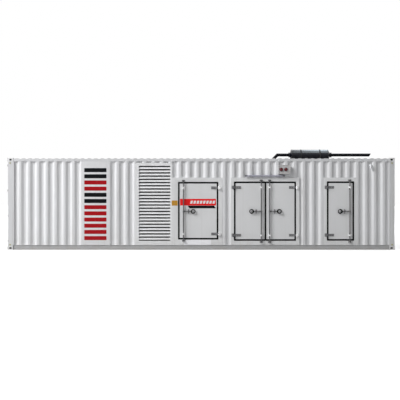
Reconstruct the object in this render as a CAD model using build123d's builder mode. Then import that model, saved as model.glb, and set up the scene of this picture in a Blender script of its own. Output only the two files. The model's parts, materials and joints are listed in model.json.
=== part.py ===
from build123d import *
import os
from math import sqrt
from typing import NamedTuple

os.makedirs("parts", exist_ok=True)

# Overall size: a 40 ft high-cube freight container. X runs along the box, the front wall faces -Y,
# Z is up, and the origin is on the ground at the middle of the footprint.
LENGTH = 12192
WIDTH = 2438
HEIGHT = 2896

# Corner castings, hollow, with an aperture in each outer face
CASTING_LENGTH = 178
CASTING_WIDTH = 162
CASTING_HEIGHT = 118
CASTING_OUTER_WALL = 28
CASTING_INNER_WALL = 10
STUD_FROM_END = 103.5
STUD_FROM_SIDE = 89.5
STUD_APERTURE_LENGTH = 124
STUD_APERTURE_WIDTH = 63.5
LASHING_APERTURE_LENGTH = 79.5
LASHING_APERTURE_WIDTH = 51
LASHING_FROM_EDGE = 101.5

# Corner posts, folded from thick plate
POST_WALL = 6
POST_SETBACK = 4
DOOR_POST_SETBACK = 20
POST_FLANGE = 34
BOSS_RADIUS = 20
BOSS_HEIGHT = 3
BOSS_FROM_CASTING = 46

# Rails, sills and headers
FACE_SETBACK = 8
RAIL_BOTTOM = 12
RAIL_TOP = 158
RAIL_FLANGE = 48
RAIL_LIP = 16
RAIL_WALL = 6
RAIL_SETBACK = 6
ROOF_RAIL_BELOW_TOP = 30
ROOF_RAIL_HEIGHT = 80
ROOF_RAIL_WIDTH = 60
ROOF_RAIL_WALL = 4
SILL_WIDTH = 60
HEADER_ABOVE_RAIL = 4

# Floor
CROSS_MEMBER_HEIGHT = 122
CROSS_MEMBER_FLANGE = 45
CROSS_MEMBER_WALL = 4
CROSS_MEMBERS = 20
FLOOR_THICKNESS = 6
FLOOR_CLEARANCE = 1

# Corrugated wall sheets: a trapezoid wave
SHEET = 2
WALL_PITCH = 279.2
WALL_FIRST_TROUGH = 85
WALL_TROUGH_FLAT = 70
WALL_SLOPE = 68
WALL_DEPTH = 36
END_WALL_TROUGHS = 9
MARKING_PANEL_TROUGHS = (8, 9, 10)

# Corrugated roof sheet
ROOF_WAVES = 57
ROOF_TROUGH_FLAT = 68
ROOF_SLOPE = 34
ROOF_DEPTH = 18
ROOF_EDGE = 55
ROOF_CLOSURE = 3

# Louvre panels
LOUVRE_WIDTH = 1190
LOUVRE_BELOW_RAIL = 44
SLOT_FROM_LEFT = 142
SLOT_FROM_RIGHT = 60
SLOT_FIRST = 304
SLOT_LAST_BELOW_RAIL = 157
SLOTS = 24
SLOT_GAP = 36
BLADE_LIP = 12
BLADE_DEPTH = 40
BLADE_SHEET = 3
LOUVRE_PLATE = 4
LOUVRE_STILE = 6
LOUVRE_STILE_DEPTH = 52

# Door frames: the wall left beside each, then the frame's width, its two jambs, sill and head
FRAME_DEPTH = 80
WALL_ABOVE_FRAMES = 511
WALL_RIGHT_OF_NARROW = 996
WALL_LEFT_OF_NARROW = 759
WALL_LEFT_OF_DOUBLE = 250
NARROW_WIDTH = 1066
NARROW_JAMBS = (113, 113)
NARROW_SILL = 140
NARROW_HEAD = 128
DOUBLE_WIDTH = 2172
DOUBLE_JAMBS = (118, 116)
DOUBLE_SILL = 136
DOUBLE_HEAD = 132
WIDE_WIDTH = 1585
WIDE_JAMBS = (193, 139)
WIDE_SILL = 176
WIDE_HEAD = 144
LEAF_GAP = 8
STOP_DEPTH = 56
STOP_LAP = 24

# Door leaves and their seals
LEAF_THICKNESS = 50
LEAF_CHAMFER = 4
SEAL_WIDTH = 36
MEETING_SEAL_WIDTH = 16
SEAL_SETBACK = 3
SEAL_DEPTH = 37
MEETING_GAP = 8
MEETING_FROM_SEAL = 983

# Hinges
HINGE_OUTSIDE = 30
HINGE_FORWARD = 32
HINGE_RADIUS = 22
PIN_RADIUS = 8
PIN_CLEARANCE = 0.3
PIN_HEAD = 3
KNUCKLE_HEIGHT = 40
EAR_HEIGHT = 32
EAR_GAP = 1
LUG_PAD = 6
LUG_PAD_LENGTH = 70
STRAP_LENGTH = 246
STRAP_HEIGHT = 80
STRAP_THICKNESS = 8
STRAP_LIFT = 18
STRAP_JOGGLE = 20
STRAP_CLEARANCE = 6
HINGE_FROM_TOP = 178
HINGE_FROM_BOTTOM = 168

# Lock gear
ROD_RADIUS = 16
ROD_FORWARD = 34
ROD_BEYOND_SEAL = 66
CAM_RADIUS = 22
CAM_HEIGHT = 30
CAM_BEYOND_SEAL = 44
KEEPER_BASE = 6
KEEPER_WIDTH = 96
KEEPER_HEIGHT = 44
KEEPER_EAR_GAP = 28
KEEPER_EAR = 8
KEEPER_EAR_REACH = 40
GUIDE_HEIGHT = 165
GUIDE_WIDTH = 56
GUIDE_PLATE = 6
GUIDE_BLOCK_HEIGHT = 44
GUIDE_BLOCK_WIDTH = 46
GUIDE_CLEARANCE = 0.8
HANDLE_Z = 1211
HUB_RADIUS = 24
HUB_HEIGHT = 56
LEVER_HEIGHT = 26
LEVER_THICKNESS = 12
FORK_LENGTH = 72
FORK_CHEEK = 8
FORK_THICKNESS = 22
GRIP_START = 217
GRIP_LENGTH = 158
GRIP_RADIUS = 72.5
GRIP_BAR = 27
GRIP_HOLE_SHIFT = 8
GRIP_THICKNESS = 16
CATCH_FROM_ROD = 160
CATCH_WIDTH = 50
CATCH_CLEARANCE = 6
CATCH_CHEEK = 10
CATCH_BASE = 6
CATCH_REACH = 46
CATCH_HEIGHT = 90
CATCH_BAR_WIDTH = 18
CATCH_BAR_HEIGHT = 150
CATCH_BAR_REACH = 18

# Small things on the front wall
SILL_PLATE_INSETS = (174, 220)
SILL_PLATE_HEIGHT = 155
SILL_PLATE_THICKNESS = 4
SILL_PLATE_NOTCH = 4
LIGHT_FROM_FRAME_EDGE = 458
LIGHT_LENGTH = 1252
LIGHT_ABOVE_FRAME = 29
LIGHT_HEIGHT = 46
LIGHT_REACH = 58
LIGHT_CAP = 70
LIGHT_FILLET = 16
ALARM_FROM_FRAME_EDGE = 670
ALARM_WIDTH = 371
ALARM_ABOVE_LIGHT = 39
ALARM_HEIGHT = 277
ALARM_REACH = 92
ALARM_RIM = 16
ALARM_RECESS = 8
ALARM_FILLET = 12
LAMPS_FROM_EDGE = (83, 233)
LAMP_RADIUS = 60
LAMP_REACH = 34
LAMP_CHAMFER = 14
GLANDS_FROM_EDGE = (93, 273)
GLAND_RADIUS = 12
GLAND_LENGTH = 30
VENT_FROM_POST = 583
VENT_BELOW_RAIL = 124
VENT_DROP = 106
VENT_RADIUS = 32
VENT_WALL = 3
VENT_STUB = 34
VENT_MITRE = 34
VENT_FLANGE_WIDTH = 66
VENT_FLANGE_HEIGHT = 110
VENT_FLANGE = 3

# Exhaust on the roof
PIPE_RADIUS = 50
PIPE_WALL = 3
INLET_MITRE = 135
INLET_RUN = 388
INLET_BELOW_ROOF = 70
SILENCER_FROM_POST = 1585
SILENCER_ABOVE_ROOF = 8
SILENCER_LENGTH = 1395
SILENCER_CONES = (67, 110)
SILENCER_RADIUS = 178
SILENCER_NECK = 62
SILENCER_SEAM = 3
SILENCER_SEAM_WIDTH = 24
FLANGE_RADIUS = 82
FLANGE_THICKNESS = 12
TAIL_LENGTH = 1325
TAIL_SLANT = 56
SADDLES_FROM_BODY = (295, 925)
SADDLE_THICKNESS = 10
SADDLE_WIDTH = 300
SADDLE_RISE = 96
SADDLE_PAD_LENGTH = 110
SADDLE_PAD_WIDTH = 340
SADDLE_PAD = 6
BAND_WIDTH = 44
BAND_THICKNESS = 4
SEAT_CLEARANCE = 0.3
COLLAR_PLATE = 300
COLLAR_THICKNESS = 4
COLLAR_RING = 5
COLLAR_HEIGHT = 30
COLLAR_GAP = 5

# Cargo doors and hinges at the left end, which don't open here
END_LEAF_THICKNESS = 38
END_LEAF_SETBACK = 32
END_SEAL = 12
END_LEAF_GAP = 10
END_RECESSES = 5
END_RECESS_DEPTH = 16
END_RECESS_MARGIN = 90
END_ROD_RADIUS = 14
END_ROD_FROM_EDGE = 230
END_ROD_CLEARANCE = 4
END_GUIDES = 3
END_GUIDE_INSET = 260
END_GUIDE_WIDTH = 64
END_GUIDE_HEIGHT = 50
END_CAM_WIDTH = 66
END_CAM_HEIGHT = 26
END_LEVER_Z = (1080, 1200)
END_LEVER_LENGTH = 420
END_LEVER_HEIGHT = 24
END_LEVER_THICKNESS = 8
END_CATCH_WIDTH = 60
END_CATCH_HEIGHT = 90
END_HINGES = 4
END_HINGE_INSET = 110
END_HINGE_HEIGHT = 150
END_HINGE_REACH = 170
END_HINGE_THICKNESS = 18
END_BARREL_RADIUS = 9
END_BARREL_FROM_SEAL = 14


class Leaf(NamedTuple):
    """A door leaf: the outer edges of its seal, the side it hangs on and where its lock rod stands."""
    left: float
    right: float
    bottom: float
    top: float
    hinge_side: int
    rod_from_free_edge: float
    free_seal: float


class Frame(NamedTuple):
    """A door frame: its outer edges and the outer edges of the seals that close it."""
    left: float
    right: float
    seal_left: float
    seal_right: float
    bottom: float
    top: float


# Places that follow from the sizes above
X_END = LENGTH / 2
Y_END = WIDTH / 2
X_BAY = X_END - CASTING_LENGTH
Y_BAY = Y_END - CASTING_WIDTH
STUD_X = X_END - STUD_FROM_END
STUD_Y = Y_END - STUD_FROM_SIDE
BOSS_X = X_BAY + CASTING_LENGTH / 2
FACE = Y_END - FACE_SETBACK
POST_FACE = Y_END - POST_SETBACK
POST_BOTTOM = CASTING_HEIGHT
POST_TOP = HEIGHT - CASTING_HEIGHT
END_FACE = X_END - FACE_SETBACK
RAIL_FACE = Y_END - RAIL_SETBACK
ROOF_RAIL_TOP = HEIGHT - ROOF_RAIL_BELOW_TOP
ROOF_RAIL_BOTTOM = ROOF_RAIL_TOP - ROOF_RAIL_HEIGHT
ROOF_CREST = ROOF_RAIL_TOP + ROOF_DEPTH + SHEET
HEADER_TOP = ROOF_RAIL_TOP + HEADER_ABOVE_RAIL
FRAME_TOP = ROOF_RAIL_BOTTOM - WALL_ABOVE_FRAMES
WALL_TROUGHS = int((2 * X_BAY - WALL_FIRST_TROUGH) / WALL_PITCH) + 1
WALL_CENTRES = [WALL_FIRST_TROUGH - X_BAY + WALL_PITCH * i for i in range(WALL_TROUGHS)]


def frame_at(right, width, jambs, sill, head):
    """The door frame whose right edge is at right, its seals set in by its jambs, sill and head."""
    left = right - width
    return Frame(left, right, left + jambs[0], right - jambs[1], RAIL_TOP + sill, FRAME_TOP - head)


NARROW = frame_at(X_BAY - WALL_RIGHT_OF_NARROW, NARROW_WIDTH, NARROW_JAMBS, NARROW_SILL, NARROW_HEAD)
DOUBLE = frame_at(NARROW.left - WALL_LEFT_OF_NARROW, DOUBLE_WIDTH, DOUBLE_JAMBS, DOUBLE_SILL, DOUBLE_HEAD)
WIDE = frame_at(DOUBLE.left - WALL_LEFT_OF_DOUBLE, WIDE_WIDTH, WIDE_JAMBS, WIDE_SILL, WIDE_HEAD)
FRAMES = (WIDE, DOUBLE, NARROW)
MEETING_X = DOUBLE.seal_left + MEETING_FROM_SEAL
LEAVES = {
    "wide_door": Leaf(WIDE.seal_left, WIDE.seal_right, WIDE.bottom, WIDE.top, 1, 165, SEAL_WIDTH),
    "double_door_left": Leaf(DOUBLE.seal_left, MEETING_X - MEETING_GAP / 2, DOUBLE.bottom, DOUBLE.top,
                             -1, 130, MEETING_SEAL_WIDTH),
    "double_door_right": Leaf(MEETING_X + MEETING_GAP / 2, DOUBLE.seal_right, DOUBLE.bottom, DOUBLE.top,
                              1, 126, MEETING_SEAL_WIDTH),
    "narrow_door": Leaf(NARROW.seal_left, NARROW.seal_right, NARROW.bottom, NARROW.top, -1, 132, SEAL_WIDTH),
}

LOUVRE_RIGHT = WIDE.left
LOUVRE_LEFT = LOUVRE_RIGHT - LOUVRE_WIDTH
LOUVRE_TOP = ROOF_RAIL_BOTTOM - LOUVRE_BELOW_RAIL
SLOT_LAST = ROOF_RAIL_BOTTOM - SLOT_LAST_BELOW_RAIL
SLOT_PITCH = (SLOT_LAST - SLOT_FIRST) / (SLOTS - 1)

LIGHT_LEFT = DOUBLE.left + LIGHT_FROM_FRAME_EDGE
LIGHT_BOTTOM = FRAME_TOP + LIGHT_ABOVE_FRAME
LIGHT_TOP = LIGHT_BOTTOM + LIGHT_HEIGHT
ALARM_LEFT = DOUBLE.right - ALARM_FROM_FRAME_EDGE
ALARM_BOTTOM = LIGHT_TOP + ALARM_ABOVE_LIGHT
VENT_X = X_BAY - VENT_FROM_POST
VENT_AXIS = ROOF_RAIL_BOTTOM - VENT_BELOW_RAIL

PIPE_AXIS = ROOF_CREST + SILENCER_ABOVE_ROOF + SILENCER_RADIUS
SILENCER_RIGHT = X_BAY - SILENCER_FROM_POST
SILENCER_LEFT = SILENCER_RIGHT - SILENCER_LENGTH
SILENCER_BODY_LEFT = SILENCER_LEFT + SILENCER_CONES[0]
SILENCER_BODY_RIGHT = SILENCER_RIGHT - SILENCER_CONES[1]
INLET_X = SILENCER_LEFT - INLET_RUN - INLET_MITRE
TAIL_END = SILENCER_RIGHT + TAIL_LENGTH


def front(out=0.0, x=0.0, z=0.0):
    """The plane of the front wall's face, x along the box and y up, moved outwards by out."""
    return Plane(origin=(x, -(FACE + out), z), x_dir=(1, 0, 0), z_dir=(0, -1, 0))


def level(z):
    """A horizontal plane whose x runs along the box and whose y runs inwards from the front face."""
    return Plane(origin=(0, -FACE, z), x_dir=(1, 0, 0), z_dir=(0, 0, 1))


def along_x(x):
    """A plane across the box at x, with its x axis along +Y and its y axis up."""
    return Plane(origin=(x, 0, 0), x_dir=(0, 1, 0), z_dir=(1, 0, 0))


def area(left, right, bottom, top, mode=Mode.ADD):
    """A rectangle between four edges."""
    with Locations(((left + right) / 2, (bottom + top) / 2)):
        Rectangle(right - left, top - bottom, mode=mode)


def wave(start, end, centres, flat, slope, depth):
    """Corners of a trapezoid wave from start to end, with a trough at each centre."""
    def depth_at(x):
        nearest = min(abs(x - centre) for centre in centres)
        return depth * min(1, max(0, (flat / 2 + slope - nearest) / slope))

    corners = []
    for centre in centres:
        for offset in (-flat / 2 - slope, -flat / 2, flat / 2, flat / 2 + slope):
            corners.append((centre + offset, depth_at(centre + offset)))
    inside = [corner for corner in corners if start < corner[0] < end]
    return [(start, depth_at(start))] + inside + [(end, depth_at(end))]


def sheet_section(corners, thickness):
    """Section of a folded sheet: its face and the same line set back by its thickness."""
    back = [(x, depth + thickness) for x, depth in reversed(corners)]
    with BuildLine() as outline:
        Polyline(*corners, *back, close=True)
    make_face(outline.edges())


def wall_sheet(left, right, bottom, top, without=()):
    """A piece of the corrugated front wall, flat where a trough is left out."""
    centres = [x for i, x in enumerate(WALL_CENTRES) if i not in without]
    with BuildSketch(level(bottom)) as section:
        sheet_section(wave(left, right, centres, WALL_TROUGH_FLAT, WALL_SLOPE, WALL_DEPTH), SHEET)
    extrude(section.sketch, amount=top - bottom)


def louvre(face, left, right, top, slot_left, slot_right):
    """A tall louvre: a face plate, a deep frame round the opening and blades that slope up and in."""
    opening_bottom = SLOT_FIRST - SLOT_GAP / 2
    opening_top = SLOT_LAST + SLOT_GAP / 2
    with BuildSketch(face) as plate:
        area(left, right, RAIL_TOP, top)
        area(slot_left, slot_right, opening_bottom, opening_top, Mode.SUBTRACT)
    extrude(plate.sketch, amount=-LOUVRE_PLATE)
    with BuildSketch(face) as stiles:
        area(slot_left - LOUVRE_STILE, slot_right + LOUVRE_STILE,
             opening_bottom - LOUVRE_STILE, opening_top + LOUVRE_STILE)
        area(slot_left, slot_right, opening_bottom, opening_top, Mode.SUBTRACT)
    extrude(stiles.sketch, amount=-LOUVRE_STILE_DEPTH)
    rise = SLOT_PITCH - SLOT_GAP
    for i in range(SLOTS - 1):
        foot = face.from_local_coords((slot_left, SLOT_FIRST + SLOT_GAP / 2 + i * SLOT_PITCH, 0))
        across = Plane(origin=foot, x_dir=-face.z_dir, z_dir=face.x_dir)
        with BuildSketch(across) as blade:
            with BuildLine():
                Polyline((0, 0), (0, BLADE_LIP), (BLADE_DEPTH, rise), (BLADE_DEPTH + BLADE_SHEET, rise),
                         (BLADE_SHEET, BLADE_LIP), (BLADE_SHEET, 0), close=True)
            make_face()
        extrude(blade.sketch, amount=slot_right - slot_left)


def hinge_x(leaf):
    """Where the leaf's hinge axis stands."""
    return leaf.right + HINGE_OUTSIDE if leaf.hinge_side > 0 else leaf.left - HINGE_OUTSIDE


def rod_x(leaf):
    """Where the leaf's lock rod stands, near the edge that isn't hinged."""
    free_edge = leaf.left if leaf.hinge_side > 0 else leaf.right
    return free_edge + leaf.hinge_side * leaf.rod_from_free_edge


def lock_plane(leaf, thickness):
    """A plane behind the rod's axis by half a thickness, x from the rod towards the hinge, y up or down."""
    return Plane(origin=(rod_x(leaf), -FACE - ROD_FORWARD + thickness / 2, HANDLE_Z),
                 x_dir=(leaf.hinge_side, 0, 0), z_dir=(0, -1, 0))


def hinge_heights(leaf):
    """Heights of the leaf's two hinges."""
    return leaf.bottom + HINGE_FROM_BOTTOM, leaf.top - HINGE_FROM_TOP


def export(part, name):
    part.label = name
    export_step(part, f"parts/{name}.step")


# Corner castings
with BuildPart() as casting:
    with Locations((X_END, Y_END, 0)):
        Box(CASTING_LENGTH, CASTING_WIDTH, CASTING_HEIGHT, align=(Align.MAX, Align.MAX, Align.MIN))
    with Locations((X_END - CASTING_OUTER_WALL, Y_END - CASTING_OUTER_WALL, CASTING_OUTER_WALL)):
        Box(CASTING_LENGTH - CASTING_OUTER_WALL - CASTING_INNER_WALL,
            CASTING_WIDTH - CASTING_OUTER_WALL - CASTING_INNER_WALL,
            CASTING_HEIGHT - CASTING_OUTER_WALL - CASTING_INNER_WALL,
            align=(Align.MAX, Align.MAX, Align.MIN), mode=Mode.SUBTRACT)
    with BuildSketch(Plane.XY):
        with Locations((STUD_X, STUD_Y)):
            SlotOverall(STUD_APERTURE_LENGTH, STUD_APERTURE_WIDTH)
    extrude(amount=CASTING_OUTER_WALL, mode=Mode.SUBTRACT)
    with BuildSketch(Plane(origin=(0, Y_END, 0), x_dir=(-1, 0, 0), z_dir=(0, 1, 0))):
        with Locations((LASHING_FROM_EDGE - X_END, CASTING_HEIGHT / 2)):
            SlotOverall(LASHING_APERTURE_LENGTH, LASHING_APERTURE_WIDTH)
    extrude(amount=-CASTING_OUTER_WALL, mode=Mode.SUBTRACT)
    with BuildSketch(along_x(X_END)):
        with Locations((STUD_Y, CASTING_HEIGHT / 2)):
            SlotOverall(LASHING_APERTURE_LENGTH, LASHING_APERTURE_WIDTH)
    extrude(amount=-CASTING_OUTER_WALL, mode=Mode.SUBTRACT)

with BuildPart() as corner_castings:
    add(casting.part)
    mirror(about=Plane.XY.offset(HEIGHT / 2))
    mirror(about=Plane.XZ)
    mirror(about=Plane.YZ)
export(corner_castings.part, "corner_castings")

# Corner posts: closed at the right end, with a side flange at the door end
with BuildPart() as corner_posts:
    with BuildSketch(Plane.XY.offset(POST_BOTTOM)):
        area(X_BAY, X_END - POST_SETBACK, Y_BAY, POST_FACE)
        area(X_BAY + POST_WALL, X_END - POST_SETBACK - POST_WALL, Y_BAY + POST_WALL, POST_FACE - POST_WALL,
             Mode.SUBTRACT)
        area(-X_END + DOOR_POST_SETBACK, -X_BAY, Y_BAY, POST_FACE)
        area(-X_END + DOOR_POST_SETBACK + POST_WALL, -X_BAY - POST_WALL, Y_BAY + POST_WALL,
             POST_FACE - POST_WALL, Mode.SUBTRACT)
    extrude(amount=POST_TOP - POST_BOTTOM)
    with BuildSketch(Plane.XY.offset(RAIL_TOP)):
        area(-X_BAY, -X_BAY + POST_FLANGE, POST_FACE - POST_WALL, POST_FACE)
    extrude(amount=POST_TOP - RAIL_TOP)
    mirror(about=Plane.XZ)
export(corner_posts.part, "corner_posts")

with BuildPart() as earthing_bosses:
    with BuildSketch(Plane.XZ.offset(-POST_FACE)):
        for x in (-BOSS_X, BOSS_X):
            for z in (POST_BOTTOM + BOSS_FROM_CASTING, POST_TOP - BOSS_FROM_CASTING):
                with Locations((x, z)):
                    Circle(BOSS_RADIUS)
    extrude(amount=-BOSS_HEIGHT)
    mirror(about=Plane.XZ)
export(earthing_bosses.part, "earthing_bosses")

# Side rails: the bottom one has its web set back between an upper and a lower lip
with BuildPart() as bottom_side_rails:
    with BuildSketch(along_x(-X_BAY)):
        area(RAIL_FACE - RAIL_FLANGE, RAIL_FACE, RAIL_BOTTOM, RAIL_TOP)
        area(RAIL_FACE - RAIL_LIP, RAIL_FACE, RAIL_BOTTOM + RAIL_WALL, RAIL_TOP - RAIL_WALL, Mode.SUBTRACT)
        area(RAIL_FACE - RAIL_FLANGE, RAIL_FACE - RAIL_LIP - RAIL_WALL, RAIL_BOTTOM + RAIL_WALL,
             RAIL_TOP - RAIL_WALL, Mode.SUBTRACT)
    extrude(amount=2 * X_BAY)
    mirror(about=Plane.XZ)
export(bottom_side_rails.part, "bottom_side_rails")

with BuildPart() as top_side_rails:
    with BuildSketch(along_x(-X_BAY)):
        area(FACE - ROOF_RAIL_WIDTH, FACE, ROOF_RAIL_BOTTOM, ROOF_RAIL_TOP)
        area(FACE - ROOF_RAIL_WIDTH + ROOF_RAIL_WALL, FACE - ROOF_RAIL_WALL,
             ROOF_RAIL_BOTTOM + ROOF_RAIL_WALL, ROOF_RAIL_TOP - ROOF_RAIL_WALL, Mode.SUBTRACT)
    extrude(amount=2 * X_BAY)
    mirror(about=Plane.XZ)
export(top_side_rails.part, "top_side_rails")

# Sills and headers across the ends
with BuildPart() as end_sills_and_headers:
    with BuildSketch(Plane.XZ.offset(-Y_BAY)):
        area(END_FACE - SILL_WIDTH, END_FACE, RAIL_BOTTOM, RAIL_TOP)
        area(END_FACE - SILL_WIDTH + RAIL_WALL, END_FACE - RAIL_WALL, RAIL_BOTTOM + RAIL_WALL,
             RAIL_TOP - RAIL_WALL, Mode.SUBTRACT)
        area(X_BAY, END_FACE, ROOF_RAIL_BOTTOM, HEADER_TOP)
        area(X_BAY + ROOF_RAIL_WALL, END_FACE - ROOF_RAIL_WALL, ROOF_RAIL_BOTTOM + ROOF_RAIL_WALL,
             HEADER_TOP - ROOF_RAIL_WALL, Mode.SUBTRACT)
    extrude(amount=2 * Y_BAY)
    mirror(about=Plane.YZ)
export(end_sills_and_headers.part, "end_sills_and_headers")

# Floor
cross_member_length = 2 * (RAIL_FACE - RAIL_FLANGE)
cross_member_pitch = 2 * X_BAY / (CROSS_MEMBERS + 1)
with BuildPart() as floor_cross_members:
    with BuildSketch(Plane.XZ.offset(-cross_member_length / 2)):
        for i in range(CROSS_MEMBERS):
            back = -X_BAY + cross_member_pitch * (i + 1)
            bottom = RAIL_TOP - CROSS_MEMBER_HEIGHT
            area(back, back + CROSS_MEMBER_FLANGE, bottom, RAIL_TOP)
            area(back + CROSS_MEMBER_WALL, back + CROSS_MEMBER_FLANGE, bottom + CROSS_MEMBER_WALL,
                 RAIL_TOP - CROSS_MEMBER_WALL, Mode.SUBTRACT)
    extrude(amount=cross_member_length)
export(floor_cross_members.part, "floor_cross_members")

floor_edge = FACE - WALL_DEPTH - SHEET - FLOOR_CLEARANCE
floor_end = END_FACE - WALL_DEPTH - SHEET - LOUVRE_STILE_DEPTH
with BuildPart() as floor_plate:
    with BuildSketch(Plane.XY.offset(RAIL_TOP)):
        area(-X_BAY + FLOOR_CLEARANCE, X_BAY - FLOOR_CLEARANCE, -floor_edge, floor_edge)
        area(-floor_end, floor_end, -Y_BAY + FLOOR_CLEARANCE, Y_BAY - FLOOR_CLEARANCE)
        for frame in FRAMES:
            for side in (-1, 1):
                with Locations(((frame.left + frame.right) / 2, side * FACE)):
                    Rectangle(frame.right - frame.left + 2 * FLOOR_CLEARANCE,
                              2 * (FRAME_DEPTH + FLOOR_CLEARANCE), mode=Mode.SUBTRACT)
    extrude(amount=FLOOR_THICKNESS)
export(floor_plate.part, "floor_plate")

# Roof: a wave across the box, closed where it meets the side rails
roof_pitch = 2 * X_BAY / ROOF_WAVES
roof_centres = [-X_BAY + roof_pitch * i for i in range(ROOF_WAVES + 1)]
roof_half = FACE - ROOF_RAIL_WIDTH
roof_corners = wave(-X_BAY, X_BAY, roof_centres, ROOF_TROUGH_FLAT, ROOF_SLOPE, ROOF_DEPTH)


def roof_plane(y):
    """A plane across Y at y, x along the box and y down from the roof's crests."""
    return Plane(origin=(0, y, ROOF_CREST), x_dir=(1, 0, 0), z_dir=(0, 1, 0))


with BuildPart() as roof_panel:
    with BuildSketch(roof_plane(-roof_half)):
        sheet_section(roof_corners, SHEET)
    extrude(amount=2 * roof_half)
    with BuildSketch(roof_plane(roof_half)):
        with BuildLine():
            Polyline(*roof_corners, (X_BAY, ROOF_DEPTH + SHEET), (-X_BAY, ROOF_DEPTH + SHEET), close=True)
        make_face()
    extrude(amount=ROOF_CLOSURE)
    with BuildSketch(Plane.XY.offset(ROOF_RAIL_TOP)):
        area(-X_BAY, X_BAY, roof_half, roof_half + ROOF_EDGE)
    extrude(amount=SHEET)
    mirror(about=Plane.XZ)
    with BuildSketch(Plane.XY.offset(ROOF_RAIL_TOP)):
        with Locations((INLET_X, 0)):
            Circle(PIPE_RADIUS + COLLAR_GAP)
    extrude(amount=ROOF_DEPTH + SHEET, mode=Mode.SUBTRACT)
export(roof_panel.part, "roof_panel")

# Front wall sheets
with BuildPart() as front_side_panels:
    wall_sheet(-X_BAY, LOUVRE_LEFT, RAIL_TOP, ROOF_RAIL_BOTTOM, MARKING_PANEL_TROUGHS)
    wall_sheet(WIDE.right, DOUBLE.left, RAIL_TOP, ROOF_RAIL_BOTTOM)
    wall_sheet(DOUBLE.right, NARROW.left, RAIL_TOP, ROOF_RAIL_BOTTOM)
    wall_sheet(NARROW.right, X_BAY, RAIL_TOP, ROOF_RAIL_BOTTOM)
export(front_side_panels.part, "front_side_panels")

with BuildPart() as front_panels_over_doors:
    wall_sheet(LOUVRE_LEFT, LOUVRE_RIGHT, LOUVRE_TOP, ROOF_RAIL_BOTTOM)
    for frame in FRAMES:
        wall_sheet(frame.left, frame.right, FRAME_TOP, ROOF_RAIL_BOTTOM)
export(front_panels_over_doors.part, "front_panels_over_doors")

with BuildPart() as front_louvre:
    louvre(front(), LOUVRE_LEFT, LOUVRE_RIGHT, LOUVRE_TOP, LOUVRE_LEFT + SLOT_FROM_LEFT,
           LOUVRE_RIGHT - SLOT_FROM_RIGHT)
export(front_louvre.part, "front_louvre")

# Door frames: a pocket for the leaf, and behind it a smaller opening that makes the stop
with BuildPart() as front_door_frames:
    with BuildSketch(front()):
        for frame in FRAMES:
            area(frame.left, frame.right, RAIL_TOP, FRAME_TOP)
            area(frame.seal_left - LEAF_GAP, frame.seal_right + LEAF_GAP, frame.bottom - LEAF_GAP,
                 frame.top + LEAF_GAP, Mode.SUBTRACT)
    extrude(amount=-FRAME_DEPTH)
    with BuildSketch(front(-STOP_DEPTH)):
        for frame in FRAMES:
            area(frame.seal_left - LEAF_GAP, frame.seal_right + LEAF_GAP, frame.bottom - LEAF_GAP,
                 frame.top + LEAF_GAP)
            area(frame.seal_left + STOP_LAP, frame.seal_right - STOP_LAP, frame.bottom + STOP_LAP,
                 frame.top - STOP_LAP, Mode.SUBTRACT)
    extrude(amount=STOP_DEPTH - FRAME_DEPTH)
export(front_door_frames.part, "front_door_frames")

# Hinge lugs: on each frame, two ears with a pin through them
with BuildPart() as front_hinge_lugs:
    for leaf in LEAVES.values():
        x = hinge_x(leaf)
        for z in hinge_heights(leaf):
            half = KNUCKLE_HEIGHT / 2 + EAR_GAP
            full = half + EAR_HEIGHT
            with BuildSketch(level(z - full)):
                with Locations((x, -HINGE_FORWARD)):
                    Circle(HINGE_RADIUS)
                area(x - HINGE_RADIUS, x + HINGE_RADIUS, -HINGE_FORWARD, 0)
            extrude(amount=2 * full)
            with BuildSketch(level(z - half)):
                area(x - LUG_PAD_LENGTH, x + LUG_PAD_LENGTH, -HINGE_FORWARD - LUG_PAD_LENGTH, -LUG_PAD)
            extrude(amount=2 * half, mode=Mode.SUBTRACT)
            inner = x - leaf.hinge_side * HINGE_RADIUS
            outer = inner + leaf.hinge_side * LUG_PAD_LENGTH
            with BuildSketch(front()):
                area(min(inner, outer), max(inner, outer), z - full, z + full)
            extrude(amount=LUG_PAD)
            with BuildSketch(level(z - full - PIN_HEAD)):
                with Locations((x, -HINGE_FORWARD)):
                    Circle(PIN_RADIUS)
            extrude(amount=2 * (full + PIN_HEAD))
export(front_hinge_lugs.part, "front_hinge_lugs")

# Keepers: on each frame above and below each leaf, two ears that the lock rod's cam turns between
with BuildPart() as front_lock_keepers:
    for leaf in LEAVES.values():
        for z in (leaf.bottom - CAM_BEYOND_SEAL, leaf.top + CAM_BEYOND_SEAL):
            bottom = z - KEEPER_HEIGHT / 2
            top = z + KEEPER_HEIGHT / 2
            x = rod_x(leaf)
            with BuildSketch(front()):
                area(x - KEEPER_WIDTH / 2, x + KEEPER_WIDTH / 2, bottom, top)
            extrude(amount=KEEPER_BASE)
            with BuildSketch(front(KEEPER_BASE)):
                for side in (-1, 1):
                    with Locations((x + side * (KEEPER_EAR_GAP + KEEPER_EAR / 2), z)):
                        Rectangle(KEEPER_EAR, KEEPER_HEIGHT)
            extrude(amount=KEEPER_EAR_REACH)
export(front_lock_keepers.part, "front_lock_keepers")

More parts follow.
